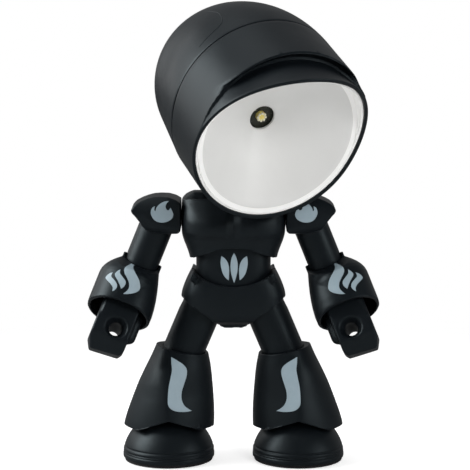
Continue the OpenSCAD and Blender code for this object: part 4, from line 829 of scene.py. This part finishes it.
# Printed ornaments: outlines in points of the camera's view, laid onto the pieces along the line of sight.
prints = {"lift": 0.10, "sink": 0.12, "gridMm": 0.55, "perSpan": 6, "mirrorSum": 468.3, "pointMm": 0.4545}
flameOutline = [(169.0, 201.0), (163.8, 201.9), (159.4, 204.4), (156.3, 208.1), (155.4, 211.3), (154.3, 210.0),
                (154.8, 206.2), (152.3, 207.8), (150.9, 211.2), (151.2, 215.0), (153.6, 219.2), (157.2, 221.7),
                (162.4, 222.6), (167.6, 221.5), (171.8, 218.6), (173.2, 214.6), (172.2, 211.2), (170.4, 207.6),
                (168.8, 210.2), (166.6, 209.6), (165.6, 206.6), (166.6, 203.6)]
sweeps = {
    "gauntletSweepWide": [(134.8, 262.8), (130.8, 264.0), (126.4, 266.4), (124.2, 269.4), (124.6, 273.2),
                          (127.0, 278.0), (129.0, 283.2), (128.9, 287.6), (126.8, 290.8), (123.2, 293.8),
                          (128.2, 294.0), (135.0, 292.8), (138.7, 290.6), (140.1, 287.4), (139.3, 281.2),
                          (136.8, 275.6), (134.4, 271.2), (133.2, 267.4)],
    "gauntletSweepMiddle": [(120.4, 269.4), (117.4, 271.2), (115.0, 274.0), (115.7, 276.9), (117.8, 280.6),
                            (119.7, 285.0), (121.0, 288.8), (123.8, 286.8), (125.6, 283.7), (125.2, 280.6),
                            (122.6, 276.9), (120.1, 273.2)],
    "gauntletSweepNarrow": [(112.7, 272.3), (108.8, 274.0), (105.7, 277.5), (107.6, 280.6), (110.6, 283.8),
                            (112.7, 287.6), (112.3, 291.2), (115.0, 289.7), (117.0, 286.8), (116.5, 283.1),
                            (113.8, 279.4), (111.3, 276.2)],
    "bootSweep": [(171.2, 357.0), (176.5, 360.1), (182.7, 364.2), (186.5, 368.8), (186.7, 375.0), (184.5, 382.7),
                  (181.9, 391.2), (181.5, 398.8), (183.9, 405.0), (188.1, 408.8), (191.9, 410.8), (185.0, 411.9),
                  (176.5, 411.5), (171.2, 409.3), (168.1, 405.0), (167.8, 397.3), (168.8, 386.5), (170.7, 377.3),
                  (171.9, 369.6), (171.3, 362.7)],
}
lensOutline = [(234.0, 253.1), (236.4, 257.8), (237.6, 263.6), (237.5, 270.4), (236.2, 276.8), (234.1, 283.1),
               (232.0, 276.8), (230.7, 270.4), (230.6, 263.6), (231.7, 257.8)]
leafOutline = [(221.4, 256.1), (225.0, 258.6), (227.8, 262.8), (229.1, 268.3), (229.2, 273.9), (228.7, 280.3),
               (225.6, 277.8), (222.8, 273.3), (221.1, 267.2), (220.6, 261.7)]


# Direction from the eye through a point of the view.
def sightLine(px, py):
    down = math.radians(camera["down"])
    ahead = Vector((0, math.cos(down), -math.sin(down)))
    up = Vector((0, math.sin(down), math.cos(down)))
    half = camera["imagePx"] / 2
    ray = ahead + Vector((1, 0, 0)) * (px - half) / camera["focalPx"] - up * (py - half) / camera["focalPx"]
    return ray.normalized()


# An outline through its points in Catmull-Rom spans, which keep the tips listed as sharp.
def rounded(outline, sharp):
    count = len(outline)
    result = []
    for i in range(count):
        p1, p2 = Vector(outline[i]), Vector(outline[(i + 1) % count])
        p0 = p1 if i in sharp else Vector(outline[i - 1])
        p3 = p2 if (i + 1) % count in sharp else Vector(outline[(i + 2) % count])
        for step in range(prints["perSpan"]):
            t = step / prints["perSpan"]
            result.append(0.5 * (2 * p1 + (p2 - p0) * t + (2 * p0 - 5 * p1 + 4 * p2 - p3) * t * t
                                 + (3 * p1 - p0 - 3 * p2 + p3) * t ** 3))
    return result


# The right-hand ornaments are the left-hand ones mirrored in the view.
def mirroredOutline(outline):
    return [(prints["mirrorSum"] - x, y) for x, y in outline]


# Fills an outline with small triangles, drops them onto a piece along the line of sight and gives them thickness.
def printOn(name, outline, sharp, target, body):
    edge = rounded(outline, sharp)
    count = len(edge)
    step = prints["gridMm"] / prints["pointMm"]
    xs, ys = [p.x for p in edge], [p.y for p in edge]
    inside = []
    y = min(ys) + step / 2
    row = 0
    while y < max(ys):
        x = min(xs) + step * (0.5 if row % 2 else 0.0)
        while x < max(xs):
            crossings = 0
            near = min((Vector((x, y)) - p).length for p in edge)
            for i in range(count):
                a, b = edge[i], edge[(i + 1) % count]
                if (a.y > y) != (b.y > y) and x < (b.x - a.x) * (y - a.y) / (b.y - a.y) + a.x:
                    crossings += 1
            if crossings % 2 and near > step * 0.4:
                inside.append(Vector((x, y)))
            x += step
        y += step * 0.87
        row += 1
    border = [(i, (i + 1) % count) for i in range(count)]
    flat, _, triangles, *_ = delaunay_2d_cdt(edge + inside, border, [], 1, 1e-5)
    tree = BVHTree.FromObject(target, bpy.context.evaluated_depsgraph_get())
    top, bottom = [], []
    middle = sum(edge, Vector((0, 0))) / count
    for point in flat:
        hit = None
        for pull in range(30):                          # a point just past the outline comes in a little
            aim = point.lerp(middle, pull * 0.02)
            hit, normal, _, _ = tree.ray_cast(eye, sightLine(aim.x, aim.y))
            if hit is not None:
                break
        top.append((hit + normal * prints["lift"] * mm) / mm)
        bottom.append((hit - normal * prints["sink"] * mm) / mm)
    total = len(flat)
    faces = [tuple(t) for t in triangles] + [tuple(total + i for i in t[::-1]) for t in triangles]
    sides = dict.fromkeys((t[i], t[(i + 1) % 3]) for t in triangles for i in range(3))
    faces += [(b, a, total + a, total + b) for a, b in sides if (b, a) not in sides]
    piece = makePiece(name, top + bottom, faces, None, silverPaint)
    smooth(piece, 50)
    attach(piece, body)


ornaments = [("padFlame", flameOutline, {0, 4, 6, 17}, "shoulder_pad", "arm")]
for name, outline in sweeps.items():
    node, body = ("boot", "leg") if name == "bootSweep" else ("gauntlet", "forearm")
    sharp = {0, 10} if name == "bootSweep" else {0, 9 if name == "gauntletSweepWide" else 6}
    ornaments.append((name, outline, sharp, node, body))
for name, outline, sharp, node, body in ornaments:
    printOn(name + "Left", outline, sharp, softened[node + "_left"], body + "_left")
    printOn(name + "Right", mirroredOutline(outline), sharp, softened[node + "_right"], body + "_right")
printOn("bellyLens", lensOutline, {0, 5}, softened["waist_core"], "pelvis")
printOn("bellyLeafLeft", leafOutline, {0, 5}, softened["waist_core"], "pelvis")
printOn("bellyLeafRight", mirroredOutline(leafOutline), {0, 5}, softened["waist_core"], "pelvis")
print("printed ornaments")

# Small domes, one on each point.
domesOnPoints, given = newTree("domesOnPoints", ["Dome Radius"])
dome = addNode(domesOnPoints, "GeometryNodeMeshUVSphere", {"Radius": given.outputs["Dome Radius"]},
               inputs={"Segments": 14, "Rings": 9})
spread = addNode(domesOnPoints, "GeometryNodeInstanceOnPoints", {"Points": given.outputs["Geometry"],
                                                                 "Instance": dome.outputs[0]})
endTree(domesOnPoints, given, spread.outputs[0])

# A round bead along a path.
beadOnPath, given = newTree("beadOnPath", ["Bead Radius"])
spine = addNode(beadOnPath, "GeometryNodeMeshToCurve", {"Mesh": given.outputs["Geometry"]})
profile = addNode(beadOnPath, "GeometryNodeCurvePrimitiveCircle", {"Radius": given.outputs["Bead Radius"]},
                  inputs={"Resolution": 10})
bead = addNode(beadOnPath, "GeometryNodeCurveToMesh", {"Curve": spine.outputs[0], "Profile Curve": profile.outputs[0]},
               inputs={"Fill Caps": True})
endTree(beadOnPath, given, bead.outputs[0])

# The LED's pale base is a ring of lobes about its chip; two drops of solder shine beside it.
led = {"lobes": 8, "ringR": 1.75, "lobeR": 0.62, "solder": [(2.6, -3.0), (-2.7, 2.6)], "solderR": 0.42}
inLamp = lampFrame.inverted()
chipFace = min((inLamp @ (v.co / mm)).y for v in nodes["led_emitter"].data.vertices)
boardFace = min((inLamp @ (v.co / mm)).y for v in nodes["led_board"].data.vertices)
lobeAngles = [2 * math.pi * i / led["lobes"] for i in range(led["lobes"])]
ledBase = growPiece("ledPadRing", domesOnPoints, {"Dome Radius": led["lobeR"] * mm, "Finish": ledPads}, lampFrame,
                    [(led["ringR"] * math.cos(a), chipFace, led["ringR"] * math.sin(a)) for a in lobeAngles])
solderDrops = [growPiece("ledSolder", domesOnPoints, {"Dome Radius": led["solderR"] * mm, "Finish": solderTin},
                         lampFrame, [(x, boardFace, z)]) for x, z in led["solder"]]

# A faint line left by the mould on the back of the helmet, laid on like the ornaments.
mouldLine = {
    "path": [(206.5, 10.8), (212, 11.3), (217.3, 12.3), (220.3, 14.4), (221.6, 16.9), (222.1, 20.0), (221.5, 23.1),
             (217.8, 27.6), (212.7, 32.3), (205.0, 40.0), (198.0, 47.7)],
    "perSpan": 8, "beadR": 0.3, "sink": 0.16,
}
shellTree = BVHTree.FromObject(rearShell, bpy.context.evaluated_depsgraph_get())
spots = []
for a, b in zip(mouldLine["path"], mouldLine["path"][1:]):
    for t in np.linspace(0, 1, mouldLine["perSpan"], endpoint=False):
        hit, normal, _, _ = shellTree.ray_cast(eye, sightLine(a[0] + (b[0] - a[0]) * t, a[1] + (b[1] - a[1]) * t))
        if hit is not None:
            spots.append((hit - normal * mouldLine["sink"] * mm) / mm)
helmetLine = growPiece("helmetMouldedLine", beadOnPath, {"Bead Radius": mouldLine["beadR"] * mm, "Finish": blackAbs},
                       Matrix.Identity(4), spots, edges=[(i, i + 1) for i in range(len(spots) - 1)])
for obj in (ledBase, helmetLine, *solderDrops):
    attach(obj, "head")
print("LED base, solder and mould line")

# Each piece rides on its body and takes the place of the plain solid it dresses.
for obj, body, replaced, slot in (
        (frontShell, "head", ["head_front_shell"], "black_plastic"),
        (rearShell, "head", ["head_rear_shell"], "black_plastic"),
        (reflector, "head", ["reflector"], "white_plastic")):
    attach(obj, body)
    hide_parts(*replaced)
bodyOf = {n: b for b, members in frame["record"]["behaviour"]["bodies"].items() for n in members}
for node, obj in softened.items():
    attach(obj, bodyOf[node])
    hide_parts(node)

cameraData = bpy.data.cameras.new("camera")
cameraData.sensor_width = camera["sensorMm"]
cameraData.lens = camera["sensorMm"] * camera["focalPx"] / camera["imagePx"]
cameraData.clip_start = 0.05
cameraObj = link(bpy.data.objects.new("camera", cameraData))
cameraObj.location = eye
cameraObj.rotation_euler = (math.radians(90 - camera["down"]), 0, 0)
bpy.context.scene.camera = cameraObj

floorLook = {"fadeFrom": 0.13, "fadeTo": 0.36, "lift": 0.64, "glossDim": 0.65}
floorMaterial, tree, shader, output = newMaterial("paleFloor")
shader.inputs["Base Color"].default_value = linear("#F2F2F2")
shader.inputs["Roughness"].default_value = 0.7
path = addNode(tree, "ShaderNodeLightPath")
seen = addNode(tree, "ShaderNodeMath", {0: path.outputs["Is Camera Ray"], 1: path.outputs["Is Transmission Ray"]},
               operation="MAXIMUM")
lift = addNode(tree, "ShaderNodeMath", {0: seen.outputs[0]}, operation="MULTIPLY", inputs={1: floorLook["lift"]})
glow = addNode(tree, "ShaderNodeEmission", {"Strength": lift.outputs[0]}, inputs={"Color": (1, 1, 1, 1)})
near = addNode(tree, "ShaderNodeAddShader", {0: shader.outputs[0], 1: glow.outputs[0]})
paper = addNode(tree, "ShaderNodeEmission", inputs={"Color": (1, 1, 1, 1), "Strength": 1.0})
place = addNode(tree, "ShaderNodeTexCoord").outputs["Object"]
away = addNode(tree, "ShaderNodeVectorMath", {0: place}, operation="LENGTH")
fade = addNode(tree, "ShaderNodeMapRange", {"Value": away.outputs["Value"]}, interpolation_type="SMOOTHSTEP",
               inputs={"From Min": floorLook["fadeFrom"], "From Max": floorLook["fadeTo"]})
share = addNode(tree, "ShaderNodeMath", {0: fade.outputs["Result"], 1: seen.outputs[0]}, operation="MULTIPLY")
either = addNode(tree, "ShaderNodeMixShader", {0: share.outputs[0], 1: near.outputs[0], 2: paper.outputs[0]})
darkened = addNode(tree, "ShaderNodeMath", {0: path.outputs["Is Glossy Ray"]}, operation="MULTIPLY",
                   inputs={1: floorLook["glossDim"]})
dark = addNode(tree, "ShaderNodeBsdfDiffuse", inputs={"Color": (0, 0, 0, 1)})
whole = addNode(tree, "ShaderNodeMixShader", {0: darkened.outputs[0], 1: either.outputs[0], 2: dark.outputs[0]})
tree.links.new(whole.outputs[0], output.inputs["Surface"])
floorMesh = bpy.data.meshes.new("floor")
floorMesh.from_pydata([(-3, -3, -0.0004), (3, -3, -0.0004), (3, 3, -0.0004), (-3, 3, -0.0004)], [], [(0, 1, 2, 3)])
floor = link(bpy.data.objects.new("floor", floorMesh))
floorMesh.materials.append(floorMaterial)

lights = [   # name, place in mm, aim in mm, size in mm, watts, whether it shows in a sheen and on matt faces
    ("softboxLeft", (-720, -60, 460), (0, 20, 120), (520, 520), 5.2, True, True),
    ("gleamLeft", (-640, -60, 700), (0, 20, 170), (360, 360), 1.0, True, False),
    ("gleamBack", (-640, 460, 420), (0, 20, 150), (520, 520), 0.9, True, False),
    ("softboxRight", (760, -420, 260), (0, 20, 110), (360, 420), 1.1, True, True),
    ("softboxTop", (-60, 60, 820), (0, 20, 120), (560, 560), 2.2, False, True),
    ("gleamTop", (-160, 140, 820), (0, 20, 120), (420, 420), 0.4, True, False),
    ("frontRight", (460, -760, 520), (0, 20, 110), (360, 360), 3.2, False, True),
]
for name, spot, aim, size, watts, gleams, fills in lights:
    data = bpy.data.lights.new(name, "AREA")
    data.shape = "RECTANGLE"
    data.size, data.size_y = size[0] * mm, size[1] * mm
    data.energy = watts
    obj = link(bpy.data.objects.new(name, data))
    obj.location = Vector(spot) * mm
    obj.rotation_euler = (Vector(aim) - Vector(spot)).to_track_quat("-Z", "Y").to_euler()
    obj.visible_glossy, obj.visible_diffuse = gleams, fills

# A white backdrop behind the lamp and a dim room on the camera's side.
world = bpy.data.worlds.new("paleRoom")
bpy.context.scene.world = world
world.use_nodes = True
tree = world.node_tree
tree.nodes.clear()
path = addNode(tree, "ShaderNodeLightPath")
looked = addNode(tree, "ShaderNodeTexCoord").outputs["Generated"]
axes = addNode(tree, "ShaderNodeSeparateXYZ", {"Vector": looked})
behind = addNode(tree, "ShaderNodeMapRange", {"Value": axes.outputs["Y"]}, interpolation_type="SMOOTHSTEP",
                 inputs={"From Min": 0.1, "From Max": 0.6})
mirrored = addNode(tree, "ShaderNodeMath", {0: path.outputs["Is Glossy Ray"], 1: behind.outputs["Result"]},
                   operation="MULTIPLY")
dimmed = addNode(tree, "ShaderNodeMath", {0: mirrored.outputs[0]}, operation="MULTIPLY", inputs={1: 0.22})
straight = addNode(tree, "ShaderNodeMath", {0: path.outputs["Is Camera Ray"], 1: path.outputs["Is Transmission Ray"]},
                   operation="MAXIMUM")
either = addNode(tree, "ShaderNodeMath", {0: dimmed.outputs[0], 1: straight.outputs[0]}, operation="MAXIMUM")
quiet = addNode(tree, "ShaderNodeMapRange", {"Value": path.outputs["Is Glossy Ray"]},
                inputs={"To Min": 0.14, "To Max": 0.05})
ambient = addNode(tree, "ShaderNodeBackground", {"Strength": quiet.outputs["Result"]}, inputs={"Color": (1, 1, 1, 1)})
backdrop = addNode(tree, "ShaderNodeBackground", inputs={"Color": (1, 1, 1, 1), "Strength": 1.0})
blend = addNode(tree, "ShaderNodeMixShader", {0: either.outputs[0], 1: ambient.outputs[0], 2: backdrop.outputs[0]})
addNode(tree, "ShaderNodeOutputWorld", {"Surface": blend.outputs[0]})
bpy.context.scene.view_settings.view_transform = "Standard"
print("camera, floor and light")
